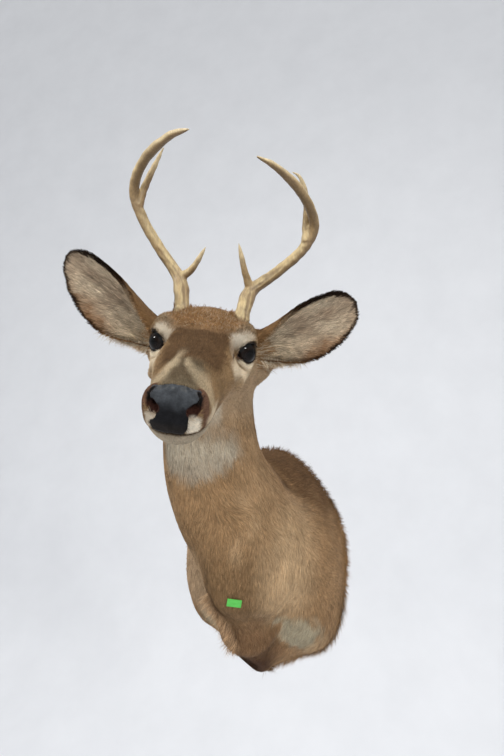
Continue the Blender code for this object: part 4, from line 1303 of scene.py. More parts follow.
def swirl(p, way, normal):
    """Cowlicks and gentle waves in the lie of the coat."""
    turn = 0.20*ripple(p, 0.050, 31)+0.10*ripple(p, 0.014, 32)
    for centre, size, angle in (((0.020, -0.271, 0.064), 0.022, 1.2),
                                ((0.030, -0.262, 0.022), 0.026, -0.8),
                                ((0.058, -0.225, 0.045), 0.024, 0.6),
                                ((0.052, -0.220, -0.010), 0.024, -0.5),
                                ((-0.022, -0.272, 0.058), 0.022, -0.8)):
        d = np.linalg.norm(p-np.array(centre), axis=1)
        turn = turn+angle*np.exp(-(d/size)**2)
    return turn_about(way, normal, turn)


def lay(way, normal):
    flat = way-normal*(way*normal).sum(1)[:, None]
    return flat/np.maximum(np.linalg.norm(flat, axis=1), 1e-9)[:, None]


def coat_uv(p):
    """Unwrap of the skin: the trunk round its axis to the wall, the neck and head round theirs."""
    n, s, r = neck_place(p)
    h = to_head(p)
    out = np.hypot(p[:, 0], p[:, 2]+0.01)
    trunk = np.stack([np.arctan2(p[:, 2]+0.01, p[:, 0])/(2*np.pi)+0.5,
                      (-p[:, 1]+np.clip(0.17-out, 0, 1))/0.45], 1)
    neck = np.stack([np.arctan2(s, r)/(2*np.pi)+0.5, n/0.40+0.1], 1)
    head = np.stack([np.arctan2(h[:, 0], h[:, 2]+25)/(2*np.pi)+0.5, (h[:, 1]+115)/305], 1)
    return trunk, neck, head


def grow_coat(skin, material):
    """Tufts over the whole hide but the ears, in pieces for head, neck and trunk."""
    def density(c):
        h = to_head(c)
        s = folded(h)
        n, _, _ = neck_place(c)
        d = BODY_TUFTS+NECK_EXTRA_TUFTS*ease(n, 0.30, 0.20)
        head = ease(h[:, 1]+0.25*(h[:, 2]+60), -88, -60)*ease(n, 0.085, 0.050)
        d = d*(1-head)+HEAD_TUFTS*head
        d = d*(1+0.35*head*ease(h[:, 1], 60, 110))
        d = d*(1-nose_pad_mask(h))
        shape, out, _, _ = almond(s)
        near = np.linalg.norm(s-np.array(EYE_CENTRE_MM), axis=1) < 27
        bare = (shape < 1.12) & (out > 0) & near
        bare |= (nostril(s) < 1.2) | (c[:, 1] > BACK_FACE-0.0005)
        return np.where(bare, 0, d)*SHARE
    root, tri, w = scatter(skin.data, density)
    true = np.abs(skin_field(root)) < 0.0012
    root, tri, w = root[true], tri[true], w[true]
    normals = vertex_values(skin.data, "normal").astype(float)
    normal = (normals[tri]*w[:, :, None]).sum(1)
    normal = units(normal)
    way, on_head = lie_of_coat(root)
    flow = lay(swirl(root, way, normal), normal)
    depth = coat_depth(root)
    h = to_head(root)
    side = folded(h)
    l, f, u = side.T
    sign = np.sign(h[:, 0])
    count = len(root)
    crown = ease(f, 24, 8)*on_head*ease(u, 8, 18)
    flow = turn_about(flow, normal, rng.normal(0, 1, count)*(0.06+0.50*crown))
    face = ease(f, -45, -5)
    muzzle = ease(f, 90, 140)
    cap = ease(f, 20, 10)*ease(u-0.25*(f+60), 2, 16)*on_head
    length = 0.0155-0.008*face*on_head-0.0035*muzzle*on_head+0.001*cap
    # hair climbing the pedicles to the burrs
    climb_way = unit((4, -12, 22))
    off = np.stack([l-38, f+52, u-18], 1)
    off = off-(off @ climb_way)[:, None]*climb_way
    climb = ease(np.linalg.norm(off, axis=1), 21, 14)*ease(u, 8, 16)*on_head
    rise = ways(count, climb_way[0]*sign, climb_way[1], climb_way[2]) @ HEAD_AXES.T
    flow = flow*(1-climb[:, None])+(rise+0.04*normal)*climb[:, None]
    flow = units(flow)
    length = length*(1-0.45*climb)
    # hair hanging from the root of the ear
    butt = ease(reach_of(side, (70, -36, -14), (13, 15, 18)), 1.35, 0.6)*on_head
    hang = ways(count, 0.75*sign, -0.45, -0.10)
    hang = (hang+rng.normal(0, 0.22, hang.shape)) @ HEAD_AXES.T
    flow = flow*(1-0.8*butt[:, None])+hang*0.8*butt[:, None]
    flow = units(flow)
    length = length*(1+0.9*butt)
    brisket = ease(root[:, 2], -0.085, -0.13)*ease(np.abs(root[:, 0]), 0.05, 0.02)
    length = length+0.005*brisket
    length *= rng.uniform(0.7, 1.25, count)
    width = (0.00084-0.00012*face*on_head-0.00010*muzzle*on_head)*rng.uniform(0.7, 1.3, count)
    wild = rng.random(count)
    lift = depth*(0.55+0.45*rng.random(count))
    stray = (wild > 0.985) & (face < 0.5)
    lift = np.where(stray, lift*1.5, lift)
    lift = lift*(1+0.35*cap)*(1-0.5*climb)
    # the edge at the wall stands out, and the seam beside the keel is ruffled
    fringe = ease(root[:, 1], -0.030, -0.008)
    flow = flow+normal*(0.55*fringe*rng.random(count))[:, None]
    length = length*(1+0.35*fringe)
    seam = stroke(root, ((-0.022, -0.236, -0.046, 0.007), (-0.013, -0.198, -0.082, 0.008),
                         (-0.007, -0.168, -0.114, 0.007), (-0.008, -0.110, -0.150, 0.006)))
    ruffle = ease(seam, 1.2, 0.5)*ease(root[:, 2], -0.128, -0.108)
    toss = np.stack([rng.normal(mean, spread, count)
                     for mean, spread in ((-0.7, 0.5), (-0.3, 0.5), (-0.1, 0.4))], 1)
    lock = ripple(root, 0.007, 44)
    flow = flow+(toss+(0.9+0.8*lock[:, None])*normal)*(ruffle*(wild > 0.3))[:, None]
    flow = units(flow)
    lift = lift*(1+0.4*ruffle)
    length = length*(1+0.35*ruffle*rng.random(count))
    free = np.clip(climb+fringe+ruffle+butt, 0, 1)
    near_eye = np.linalg.norm(side-np.array(EYE_CENTRE_MM), axis=1)
    length = length*(0.45+0.55*ease(near_eye, 21, 34))
    lips = np.abs(u-mouth_line(f))
    length = length*(1-0.6*ease(lips, 9, 3)*ease(f, 100, 125)*on_head)
    base = markings(root+normal*depth[:, None]*0.5)
    # each tuft a little lighter, darker, redder or greyer than its neighbours
    tone = np.exp(rng.normal(0, 0.185-0.045*on_head, count)+0.05*ripple(root, 0.0045, 41)
                  + 0.05*ripple(root, 0.009, 42)*on_head)
    warm = rng.normal(0, 0.022, count)
    base = base*tone[:, None]*ways(count, 1+warm, 1, 1-warm)
    pale = base.mean(1) > 0.27
    base = np.where(pale[:, None], base/(tone**0.8)[:, None], base)
    dark_tip = rng.random(count) < np.where(pale, 0.05, 0.40)
    light_tip = ~dark_tip & (rng.random(count) < 0.35)
    streaky = rng.random(count)[:, None]
    mixed = np.where(streaky < 0.25*butt[:, None], np.array(CREAM)*0.8, np.array(CAP)*1.1)
    base = np.where(streaky < 0.55*butt[:, None], mixed, base)
    # tan curls along the seam beside the keel, painted lighter to lift the crease's shade: partly
    # painted light
    curl = np.array(CURL)*np.exp(rng.normal(0, 0.25, count)+0.55*lock)[:, None]
    base = base*(1-0.8*ruffle[:, None])+curl*0.8*ruffle[:, None]
    root_colour = base*0.86
    mid = base.copy()
    tip = base*np.where(dark_tip, 0.66, np.where(light_tip, 1.30, 1.05))[:, None]
    ticked = np.nonzero(cap > 0.4)[0]
    kind = rng.random(len(ticked))[:, None]
    # painted light: the ticked tufts climbing the pedicles made up to 1.9 times lighter, against the
    # shade they stand in
    base[ticked] *= 1+0.9*climb[ticked][:, None]
    clump = ripple(root[ticked], 0.0050, 43)[:, None]
    kind = kind-0.22*clump
    mid[ticked] *= rng.uniform(0.6, 1.2, len(ticked))[:, None]*np.exp(-0.25*clump)
    lit = np.where(kind > 0.80, np.array(CREAM)*0.8, base[ticked]*1.1)
    tip[ticked] = np.where(kind < 0.30, base[ticked]*0.32, lit)
    in_head = on_head > 0.5
    in_neck = ~in_head & ((root-TRUNK_PLANE[0]) @ unit(TRUNK_PLANE[1]) < 0)
    in_trunk = ~in_head & ~in_neck
    trunk_uv, neck_uv, head_uv = coat_uv(root)
    for key, mask, uv in (("head", in_head, head_uv), ("neck", in_neck, neck_uv),
                          ("trunk", in_trunk, trunk_uv)):
        index = np.nonzero(mask)[0]
        pieces = int(np.ceil(len(index)/TUFTS_PER_PIECE))
        order = np.argsort(uv[index, 1], kind="stable")
        for k, chunk in enumerate(np.array_split(index[order], pieces)):
            tuft_piece("coat_%s_%d" % (key, k+1), root[chunk], normal[chunk], flow[chunk],
                       length[chunk], width[chunk], lift[chunk],
                       (root_colour[chunk], mid[chunk], tip[chunk]), uv[chunk], material,
                       SHORT_BLADE, field=skin_field, free=free[chunk])


def ear_colour(s, q, inner):
    """Markings of an ear: dark rim, cream lining over brownish skin, ticked brown back."""
    low = np.where(q < 0, 1.0, 0.0)      # the half of the cup towards the cheek
    p = np.stack([s*3, q, np.zeros_like(s)], 1)
    soft = ripple(p, 0.55, 51)
    fine = ripple(p, 0.16, 52)
    edge = np.abs(q)
    if inner:
        c = painted(s, EAR_LINING)
        bare = 0.75*bump_at(q, 0.05, 0.36)*bump_at(s, 0.56, 0.24)
        c = over(c, EAR_SKIN, np.clip(bare+0.22*soft+0.10*fine, 0, 1))
        c = over(c, EAR_SKIN, 0.7*ease(s, 0.72, 0.92))
        c = over(c, RUST, 0.75*low*ease(edge, 0.45, 0.80)*bump_at(s, 0.50, 0.17))
        c = over(c, CREAM, 0.8*ease(s, 0.30, 0.12))
        c = over(c, SOOT, 0.45*bump_at(q, -0.05, 0.10)*bump_at(s, 0.30, 0.16))
        c = over(c, RUST, 0.30*low*ease(edge+0.15*soft, 0.15, 0.60)*bump_at(s, 0.55, 0.22))
    else:
        c = painted(s, EAR_BACK)
        c = over(c, CAP, 0.4*ease(s, 0.5, 0.1))
    far = ease(s, 0.72, 1.0)
    rim = ease(edge+0.05*fine, 0.80-0.20*far, 0.92-0.14*far)
    rim = np.maximum(rim, ease(s+0.014*fine, 0.915, 0.965))
    strength = np.where(low > 0.5, ease(s, 0.28, 0.48), ease(s, 0.34, 0.52))
    if inner:
        c = over(c, RUST, low*ease(edge+0.10*fine, 0.62, 0.90)*ease(s, 0.22, 0.45)*0.8)
    c = over(c, TIP_BROWN, rim*strength)
    c = over(c, BLACK, rim*strength*ease(s, 0.45, 0.7)*0.7)
    return over(c, RIM_BROWN, rim*(1-strength)*(1-low)*0.7)


def grow_ears(material):
    """Lining, back and shaggy root of both ears."""
    for side in ("left", "right"):
        # inside lining: fine long hair fanning from the root to the edges
        count = int(EAR_LINING_TUFTS*SHARE)
        s = rng.beta(1.5, 1.15, count)*0.99
        q = rng.uniform(-1, 1, count)
        keep = rng.random(count) < 0.35+0.65*np.abs(q)**0.7
        s, q = s[keep], q[keep]
        parts = []
        for inner in (True, False):
            if not inner:
                count = int(EAR_BACK_TUFTS*SHARE)
                s = rng.random(count)**0.9*0.985
                q = rng.uniform(-1, 1, count)
            lift0 = ear_lift(s, q, inner)
            root = ear_place(side, s, q, lift0)
            ahead = units(ear_place(side, np.clip(s+0.004, 0, 1.2), q, lift0)-root)
            across = units(ear_place(side, s, q+0.01, lift0)-root)
            normal = units(ear_place(side, s, q, lift0+(-1.0 if inner else 1.0))-root)
            wave = 0.25*ripple(root, 0.018, 53)+rng.normal(0, 0.10, len(s))
            if inner:
                fan = 0.15+0.75*np.abs(q)**1.5
                way = ahead+across*(np.sign(q)*fan+wave)[:, None]
                length = 0.0085+0.0065*rng.random(len(s))*(1-0.5*ease(s, 0.6, 1))
                length *= 0.55+0.45*ease(np.abs(q), 1.0, 0.75)
                lift = 0.0012+0.0022*rng.random(len(s))
                width = 0.00075*rng.uniform(0.7, 1.3, len(s))
            else:
                way = ahead+across*(0.15*np.sign(q)+0.5*wave)[:, None]
                length = 0.0075+0.004*rng.random(len(s))
                length *= 0.6+0.4*ease(s, 1.0, 0.85)
                lift = 0.0008+0.0014*rng.random(len(s))
                width = 0.00095*rng.uniform(0.7, 1.3, len(s))
            flow = lay(way, normal)
            # hair at the very edge stands out past it
            rim = ease(np.abs(q), 0.88, 1.0)
            out = across*np.sign(q)[:, None]
            flow = flow*(1-0.55*rim[:, None])+out*0.75*rim[:, None]
            end = ease(s, 0.93, 1.0)[:, None]
            flow = flow*(1-0.3*end)+ahead*0.4*end
            flow = units(flow)
            length = length*(1-0.45*np.maximum(rim, end[:, 0]))
            clump = (0.16 if inner else 0.06)*ripple(root, 0.0055, 54)
            base = ear_colour(s, q, inner)*np.exp(rng.normal(0, 0.19, len(s))+clump)[:, None]
            tick = rng.random(len(s))
            tip = base*np.where(tick < 0.2, 0.65, np.where(tick < 0.5, 1.35, 1.1))[:, None]
            uv = np.stack([s*0.96+0.02, (q+1)*0.235+(0.51 if inner else 0.02)], 1)
            parts.append((root, normal, flow, length, width, lift, base*0.8, base, tip, uv))
        parts.append(ear_shag(side, int(EAR_SHAG_TUFTS*SHARE)))
        *shape, c0, c1, c2, uv = [np.concatenate(group) for group in zip(*parts)]
        tuft_piece("coat_ear_"+side, *shape, (c0, c1, c2), uv, material, LONG_BLADE, roll=0.3)


def ear_shag(side, count):
    """Long pale hair at the root of the ear, hanging over its lower edge onto the cheek."""
    s = 0.01+0.40*rng.beta(1.0, 2.2, count)
    q = -1+0.60*rng.random(count)**1.6
    sign = 1 if side == "left" else -1
    root = ear_place(side, s, q, ear_lift(s, q, True))
    normal = ear_place(side, s, q, ear_lift(s, q, True)-1.0)-root
    normal = units(normal)
    h_way = np.stack([sign*(0.55+0.25*rng.normal(0, 1, count)), -0.25+0.2*rng.normal(0, 1, count),
                      -0.60+0.25*rng.normal(0, 1, count)], 1)
    flow = h_way @ HEAD_AXES.T
    flow = units(flow)
    length = 0.0095+0.0085*rng.random(count)
    lift = 0.001+0.002*rng.random(count)
    width = 0.0009*rng.uniform(0.7, 1.3, count)
    kind = rng.random(count)[:, None]
    base = np.where(kind < 0.55, np.array(CREAM)*0.85, np.array(TAN))
    base = base*np.exp(rng.normal(0, 0.15, count))[:, None]
    uv = np.stack([s*0.96+0.02, (q+1)*0.235+0.51], 1)
    return root, normal, flow, length, width, lift, base*0.75, base, base*1.1, uv


# ---- antlers -----------------------------------------------------------------------------
def nearest_on(path, p):
    """Share along a path, distance from it and the direction out of it, for every point."""
    best = np.full(len(p), 1e9)
    share = np.zeros(len(p))
    out = np.zeros((len(p), 3))
    count = len(path)-1
    for i in range(count):
        ab = path[i+1]-path[i]
        t = np.clip((p-path[i]) @ ab/(ab @ ab), 0, 1)
        off = p-path[i]-t[:, None]*ab
        d = np.linalg.norm(off, axis=1)
        near = d < best
        best[near] = d[near]
        share[near] = (i+t[near])/count
        out[near] = off[near]
    return share, best, out/np.maximum(best, 1e-9)[:, None]


def raw_tube(path, radii, sides):
    tangent = np.gradient(path, axis=0)
    tangent = units(tangent)
    across = unit(np.cross(tangent[0], (0.3, 0.2, 0.9)))
    verts = []
    for p, t, r in zip(path, tangent, radii):
        across = unit(across-t*(across @ t))
        other = np.cross(t, across)
        for k in range(sides):
            a = 2*np.pi*k/sides
            verts.append(p+r*(np.cos(a)*across+np.sin(a)*other))
    faces = [tuple(range(sides))]
    for i in range(len(path)-1):
        for k in range(sides):
            n = (k+1) % sides
            faces.append((i*sides+k, i*sides+n, (i+1)*sides+n, (i+1)*sides+k))
    faces.append(tuple(range((len(path)-1)*sides, len(path)*sides)))
    return verts, faces


def radius_at(share, table):
    return np.interp(share, [row[0] for row in table], [row[1] for row in table])/1000


def antler(side, material):
    """Beam and tines fused, then grooved along their length and roughened at the burr."""
    spec = ANTLERS[side]
    runs = []
    verts, faces = [], []
    for key, table, count in (("beam", BEAM_RADII_MM, 90), ("brow", TINE_RADII_MM, 36),
                              ("second", TINE_RADII_MM, 40)):
        path = from_head(smooth_path(spec[key], count))
        share = np.linspace(0, 1, count)
        radii = radius_at(share, table)-0.0003
        if key == "beam":
            radii = radii+0.0026*bump_at(share, 0.028, 0.020)       # burr
            radii = radii+0.0012*bump_at(share, FORK_AT, 0.035)
        else:
            radii = radii*(1+0.45*np.exp(-share/0.10))              # flare into the beam
        radii[-1] = 0.0006
        v, f = raw_tube(path, radii, 20)
        faces += [tuple(i+len(verts) for i in face) for face in f]
        verts += v
        runs.append((key, path, radii))
    ob = faces_object("antler_"+side, verts, faces)
    mod = ob.modifiers.new("fuse", "REMESH")
    mod.mode = "VOXEL"
    mod.voxel_size = ANTLER_VOXEL
    mod = ob.modifiers.new("soften", "SMOOTH")
    mod.iterations = 8
    bpy.context.view_layer.update()
    apply_modifiers(ob)
    v = places(ob.data)
    best = np.full(len(v), 1e9)
    share = np.zeros(len(v))
    out = np.zeros((len(v), 3))
    which = np.zeros(len(v), int)
    for k, (key, path, radii) in enumerate(runs):
        s, d, o = nearest_on(path, v)
        excess = d-np.interp(s, np.linspace(0, 1, len(radii)), radii)
        near = excess < best
        best[near], share[near], out[near], which[near] = excess[near], s[near], o[near], k
    axis_a = unit((1, 0.3, 0.2))
    axis_b = unit(np.cross(axis_a, (0, 0, 1)))
    angle = np.arctan2(out @ axis_a, out @ axis_b)
    lengthwise = np.where(which == 0, share*0.36, share*0.12)
    strip = np.stack([np.cos(angle)*0.010, np.sin(angle)*0.010, lengthwise*0.16], 1)
    groove = ripple(strip, 0.0052, 61)+0.6*ripple(strip, 0.0027, 62)
    beamy = (which == 0)*ease(share, 0.75, 0.15)+(which > 0)*0.35*ease(share, 0.7, 0.2)
    push = -0.00042*np.clip(groove, 0, 2)*beamy
    pearl = ripple(v, 0.0050, 63)
    burr = (which == 0)*ease(share, 0.10, 0.03)
    push = push+0.0011*np.clip(pearl, -0.3, 1.3)*burr
    push = push+0.00025*ripple(v, 0.010, 64)
    put_places(ob.data, v+out*push[:, None])
    ob.data.update()
    # honey bone with painted light where it faces up and painted shade where it faces down; paler at
    # the tips, darker at the forks
    # painted light and shade: how far each normal faces up and to the front
    face = vertex_values(ob.data, "normal") @ unit((0.0, -0.60, 0.75))
    c = painted(v, BONE)
    c = over(c, BONE_PAINTED_LIGHT, ease(face+0.22*ripple(v, 0.030, 67), -0.10, 0.72))
    c = over(c, BONE_SHADE, 0.78*ease(face+0.15*ripple(v, 0.024, 68), 0.10, -0.50))
    # pale tips, and on the beam paler where it faces up: partly painted light
    pale = np.where(which == 0, ease(share, 0.55, 0.95)*ease(face, -0.4, 0.5), ease(share, 0.35, 0.9))
    c = over(c, BONE_TIP, 0.65*pale)
    c = over(c, BONE_BASE, 0.65*(which == 0)*ease(share, 0.13, 0.03))
    # darker at the forks and the roots of the tines
    fork = (which == 0)*(bump_at(share, FORK_AT+0.03, 0.06)+0.6*bump_at(share, spec["second_at"], 0.06)
                         + 0.5*ease(share, 0.12, 0.0))
    fork = fork+(which == 1)*0.8*np.exp(-share/0.15)+(which == 2)*0.6*np.exp(-share/0.15)
    fork_brown = np.clip(fork*(0.45+0.40*ripple(v, 0.020, 65)), 0, 1)
    c = over(c, BONE_FORK_BROWN, 0.8*fork_brown)
    dirt = np.clip(groove-0.15, 0, 1)*beamy
    c = over(c, BONE_DIRT, 0.55*dirt)
    round_it = np.stack([np.cos(angle)*0.01, np.sin(angle)*0.01, lengthwise*0.05], 1)
    streak = ripple(round_it, 0.006, 66)
    c = over(c, BONE_STREAK, 0.30*np.clip(streak, 0, 1)*(1-0.6*pale))
    put_colour(ob.data, c)
    one_material(ob, material)
    finish_piece(ob, "antler", *["antler_%s_%s" % (side, k)
                                 for k in ("base", "beam", "tip", "brow_tine", "second_tine")])


# ---- eyes and nose -----------------------------------------------------------------------
def eyes(glass, lid):
    look, rise, length = eye_axes()
    for side, name in ((1, "left"), (-1, "right")):
        mirror = np.array([side, 1, 1])
        rows, columns = EYE_ROWS, EYE_COLUMNS
        theta = np.linspace(0, np.pi, rows+1)
        verts, iris = [], []
        centre = np.array(EYE_CENTRE_MM)
        for t in theta[1:-1]:
            for k in range(columns):
                a = 2*np.pi*k/columns
                out = look*np.cos(t)+np.sin(t)*(rise*np.sin(a)+length*np.cos(a))
                bulge = 0.55*np.exp(-(t/0.42)**2)
                verts.append(from_head((centre+out*(EYE_RADIUS_MM-0.25+bulge))*mirror))
                flat = np.hypot(np.sin(t)*np.cos(a)*0.62, np.sin(t)*np.sin(a)*1.05)
                iris.append(min(flat/0.62, 1.0) if t < np.pi/2 else 1.0)
        verts.append(from_head((centre+look*(EYE_RADIUS_MM+0.3))*mirror))
        verts.append(from_head((centre-look*(EYE_RADIUS_MM-0.25))*mirror))
        iris += [0.0, 1.0]
        top, bottom = len(verts)-2, len(verts)-1
        faces = []
        for k in range(columns):
            n = (k+1) % columns
            faces.append((top, k, n))
            last = (rows-2)*columns
            faces.append((bottom, last+n, last+k))
            for i in range(rows-2):
                faces.append((i*columns+k, (i+1)*columns+k, (i+1)*columns+n, i*columns+n))
        ob = faces_object("eyeball_"+name, verts, faces, glass)
        put_value(ob.data, iris, "iris")
        finish_piece(ob, "eye", "eye_"+name)
        # lid margin: a dark rim lying on the eyeball
        sides, around = 10, 96
        verts, faces = [], []
        for k in range(around):
            a = 2*np.pi*k/around
            x = EYE_OPENING_MM[0]*1.015*np.cos(a)
            y = lid_reach(x, 20*np.sin(a))*1.02*np.sin(a)
            radial = rise*y+length*x
            reach = np.sqrt(max(EYE_RADIUS_MM**2-x*x-y*y, 1.0))
            spot = centre+look*(reach+0.25)+radial
            outward = unit(spot-centre)
            sideways = unit(radial)
            sideways = unit(sideways-outward*(sideways @ outward))
            thick = (0.95+0.45*max(np.sin(a), 0))*(1-0.4*max(np.cos(a), 0))
            for j in range(sides):
                b = 2*np.pi*j/sides
                verts.append(from_head((spot+outward*0.75*np.cos(b)*thick
                                        + sideways*np.sin(b)*thick)*mirror))
        for k in range(around):
            for j in range(sides):
                n, m = (k+1) % around, (j+1) % sides
                faces.append((k*sides+j, k*sides+m, n*sides+m, n*sides+j))
        rim = faces_object("eyelid_"+name, verts, faces, lid)
        finish_piece(rim, "nose")
        lashes(name, mirror, centre, look, rise, length, lid)


def lashes(name, mirror, centre, look, rise, length, material):
    """Short dark lashes along the upper lid."""
    verts, faces = [], []
    r = np.random.default_rng(71)
    for k in range(LASHES):
        a = np.pi*(0.32+0.62*(k+r.uniform(-0.3, 0.3))/(LASHES-1))
        x = EYE_OPENING_MM[0]*1.05*np.cos(a)
        y = lid_reach(x, 20*np.sin(a))*1.06*np.sin(a)
        reach = np.sqrt(max(EYE_RADIUS_MM**2-x*x-y*y, 1.0))
        start = centre+look*(reach+1.0)+rise*y+length*x
        out = unit(start-centre)
        grow = unit(out*0.9+rise*r.uniform(-0.15, 0.25)+length*(0.35*np.cos(a)+r.normal(0, 0.1)))
        size = r.uniform(4.0, 6.5)*(1-0.55*max(np.cos(a), 0))
        side = unit(np.cross(grow, rise))
        base = len(verts)
        for t, w in ((0, 0.30), (0.5, 0.22), (1.0, 0.05)):
            p = start+grow*size*t-rise*1.4*t*t
            for j in range(3):
                b = 2*np.pi*j/3
                verts.append(from_head((p+w*(side*np.cos(b)+rise*np.sin(b)))*mirror))
        for i in range(2):
            for j in range(3):
                m = (j+1) % 3
                faces.append((base+3*i+j, base+3*i+m, base+3*i+3+m, base+3*i+3+j))
        faces.append((base+2, base+1, base))
        faces.append((base+6, base+7, base+8))
    ob = faces_object("lashes_"+name, verts, faces, material)
    finish_piece(ob, "nose")


def nose(material):
    """The bare pad with its nostrils, cut from the muzzle's field at a finer cell."""
    def field(p):
        return face_form(to_head(p), (hide_field(p)+coat_depth(p)*0.55)*1000)/1000

    def pad(p):
        h = to_head(p)
        f, u = h[..., 1], h[..., 2]
        l = np.abs(h[..., 0]+3.0*ease(u, -2, -10))
        wide = 14.5+8.0*ease(u, 4, 17)+2.8*ease(u, -2, -10)-3.5*ease(u, -12, -20)
        region = np.maximum(np.maximum(l-wide, 164.5-0.10*l-f), -20.6-u)/1000
        return np.maximum(field(p), region)
    low, high = nose_box()
    verts, quads = surface_nets(pad, low, high, NOSE_CELL)
    ob = faces_object("nose", settle(pad, verts), quads)
    bm = bmesh.new()
    bm.from_mesh(ob.data)
    bmesh.ops.recalc_face_normals(bm, faces=bm.faces[:])
    bm.to_mesh(ob.data)
    bm.free()
    mod = ob.modifiers.new("soften", "SMOOTH")
    mod.iterations = 2
    apply_modifiers(ob)
    h = to_head(places(ob.data))
    f, u = h[:, 1], h[:, 2]
    c = painted(h, PAD_BLACK)
    # dust and painted sheen: the top of the pad lighter
    dust_and_sheen = ease(u+1.5*ripple(h, 9, 81), 0, 15)
    c = over(c, PAD_DUST_AND_SHEEN, 0.9*dust_and_sheen)
    c = over(c, PAD_CHALK, 0.5*ease(f-0.35*u, 166, 162)*ease(ripple(h, 5, 82), 0, 0.8))
    c = over(c, BLACK, ease(u, -6, -14))
    hole = ease(nostril(folded(h)), 1.0, 0.2)
    c = over(c, NOSTRIL, hole)
    # painted shade deep in the upper slit of each nostril
    c = over(c, NOSTRIL_PAINTED_SHADE, hole*ease(u, 4, 9))
    put_colour(ob.data, c)
    one_material(ob, material)
    finish_piece(ob, "nose", "nose_pad")


def nose_box():
    corners = np.array([from_head((a, b, c)) for a in (-28, 28) for b in (158, 190) for c in (-25, 30)])
    return corners.min(0)-0.002, corners.max(0)+0.002


# ---- scene ---------------------------------------------------------------------------------
def make_camera():
    """Camera fitted to the photo's view of the mount."""
    cam = bpy.data.cameras.new("camera")
    cam.lens = 24.33
    cam.sensor_width = 36
    cam.clip_start, cam.clip_end = 0.05, 50
    ob = add_object("camera", cam)
    right = Vector((0.96449, 0.26321, 0.02187))
    forward = Vector((-0.26024, 0.93296, 0.24870))
    up = right.cross(forward).normalized()
    right = forward.cross(up).normalized()
    turn = Matrix((right, up, -forward.normalized())).transposed().to_4x4()
    ob.matrix_world = Matrix.Translation((0.21533, -0.90641, 0.06386)) @ turn
    bpy.context.scene.camera = ob


def light(name, place, target, size, power, colour):
    """Rectangular lamp, turned to its target."""
    lamp = bpy.data.lights.new(name, "AREA")
    lamp.shape = "RECTANGLE"
    lamp.size, lamp.size_y = size
    lamp.energy = power
    lamp.color = colour
    ob = add_object(name, lamp)
    ob.location = place
    ob.rotation_euler = (Vector(target)-Vector(place)).to_track_quat("-Z", "Y").to_euler()


def make_stage():
    m = Nodes("studio_paint", 0.9)
    where = m.coords()
    m.colour(m.ramp(m.noise(where, 3, 3), (0.3, (0.76, 0.77, 0.79)), (0.7, (0.80, 0.81, 0.83))))
    m.bump(m.noise(where, 60, 3), 0.1, 0.002)
    profile = [(-4.0, -1.5), (1.8, -1.5)]
    profile += [(1.8+1.2*np.sin(a), -1.5+1.2*(1-np.cos(a))) for a in np.linspace(0.1, np.pi/2, 12)]
    profile += [(3.0, 9.0)]
    verts = [(x, y, z) for x in (-9, 9) for y, z in profile]
    n = len(profile)
    faces = [(i, i+1, n+i+1, n+i) for i in range(n-1)]
    ob = faces_object("backdrop", verts, faces, m.mat)


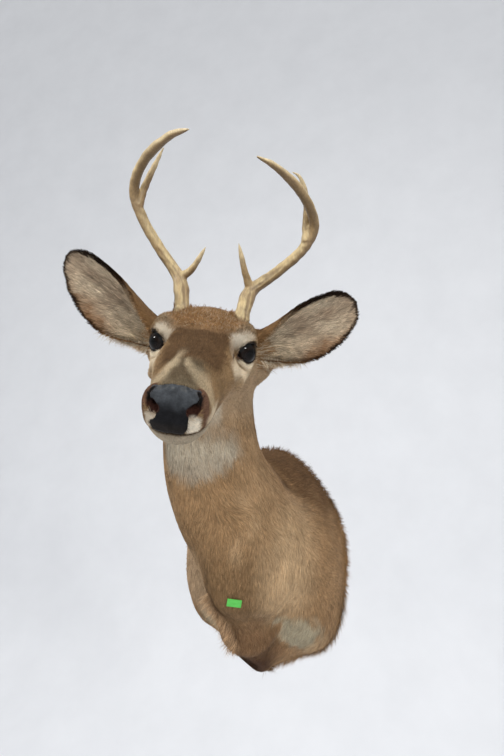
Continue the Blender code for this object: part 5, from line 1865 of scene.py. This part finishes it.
def make_light():
    light("key", (-1.70, -1.95, 0.92), (0, -0.2, 0.05), (0.40, 0.30), 25, (1.0, 0.985, 0.96))
    light("glint", (1.62, -2.25, 0.62), (0, -0.2, 0.05), (0.40, 0.30), 27, (1.0, 0.985, 0.96))
    light("fill", (0.4, -2.8, 0.0), (0, -0.2, 0.1), (2.2, 1.6), 10, (1.0, 0.99, 0.97))
    light("top", (0.3, -1.0, 2.6), (0, -0.2, 0.0), (2.2, 1.6), 20, (1.0, 0.995, 0.98))
    world = bpy.data.worlds.new("studio")
    bpy.context.scene.world = world
    world.use_nodes = True
    tree = world.node_tree
    back = tree.nodes["Background"]
    where = tree.nodes.new("ShaderNodeTexCoord")
    split = tree.nodes.new("ShaderNodeSeparateXYZ")
    sky = tree.nodes.new("ShaderNodeMapRange")
    tree.links.new(where.outputs["Generated"], split.inputs[0])
    tree.links.new(split.outputs["Z"], sky.inputs["Value"])
    for name, value in (("From Min", -0.25), ("From Max", 0.85), ("To Min", 0.46), ("To Max", 1.08)):
        sky.inputs[name].default_value = value
    tree.links.new(sky.outputs["Result"], back.inputs["Strength"])
    back.inputs["Color"].default_value = (0.97, 0.98, 1.0, 1)
    scene = bpy.context.scene
    scene.view_settings.view_transform = "Standard"
    scene.view_settings.look = "None"


def dress_node(name, material):
    """Give a CAD node that stays in view a better material."""
    ob = frame["nodes"][name]
    for piece in (ob, *ob.children_recursive):
        if piece.type == "MESH":
            piece.material_slots[0].material = material


for old in [o for o in bpy.data.objects if o.type in ("CAMERA", "LIGHT")]:
    bpy.data.objects.remove(old, do_unlink=True)
make_camera()
make_light()
make_stage()

board_angles, board_reach = back_reach()
fur = hair_material()
skin = skin_mesh()
bodies = [skin]
for side in ("left", "right"):
    verts, faces = ear_skin(side)
    bodies.append(faces_object("ear_skin_"+side, verts, faces))

# colours of the skin and the coat on it, then ears joined to the skin
v = places(skin.data)
put_colour(skin.data, markings(v)*0.92)
put_value(skin.data, ease(to_head(v)[:, 1], -95, -60), "on_head")
grow_coat(skin, fur)
for ob in bodies[1:]:
    s = np.repeat(np.linspace(0, 1, EAR_ROWS)**0.92, 2*EAR_COLUMNS)
    q = np.sin(np.linspace(-np.pi/2, np.pi/2, EAR_COLUMNS))
    q = np.tile(np.concatenate([q, q[::-1]]), EAR_ROWS)
    inner = np.tile(np.repeat([False, True], EAR_COLUMNS), EAR_ROWS)
    c = np.where(inner[:, None], ear_colour(s, q, True), ear_colour(s, q, False))
    put_colour(ob.data, c*0.85)
    put_value(ob.data, np.ones(len(s)), "on_head")
bpy.ops.object.select_all(action="DESELECT")
for ob in bodies:
    ob.select_set(True)
bpy.context.view_layer.objects.active = skin
bpy.ops.object.join()
one_material(skin, skin_material())
finish_piece(skin, "fur", "head", "lower_jaw", "neck", "trunk", "foreleg_left", "foreleg_right",
             "ear_left", "ear_right")
grow_ears(fur)
bone = antler_material()
antler("left", bone)
antler("right", bone)
eyes(eye_material(), lid_material())
nose(nose_material())
dress_node("back_board", wood_material())
dress_node("hanger", steel_material())
dress_node("price_tag", tag_material())
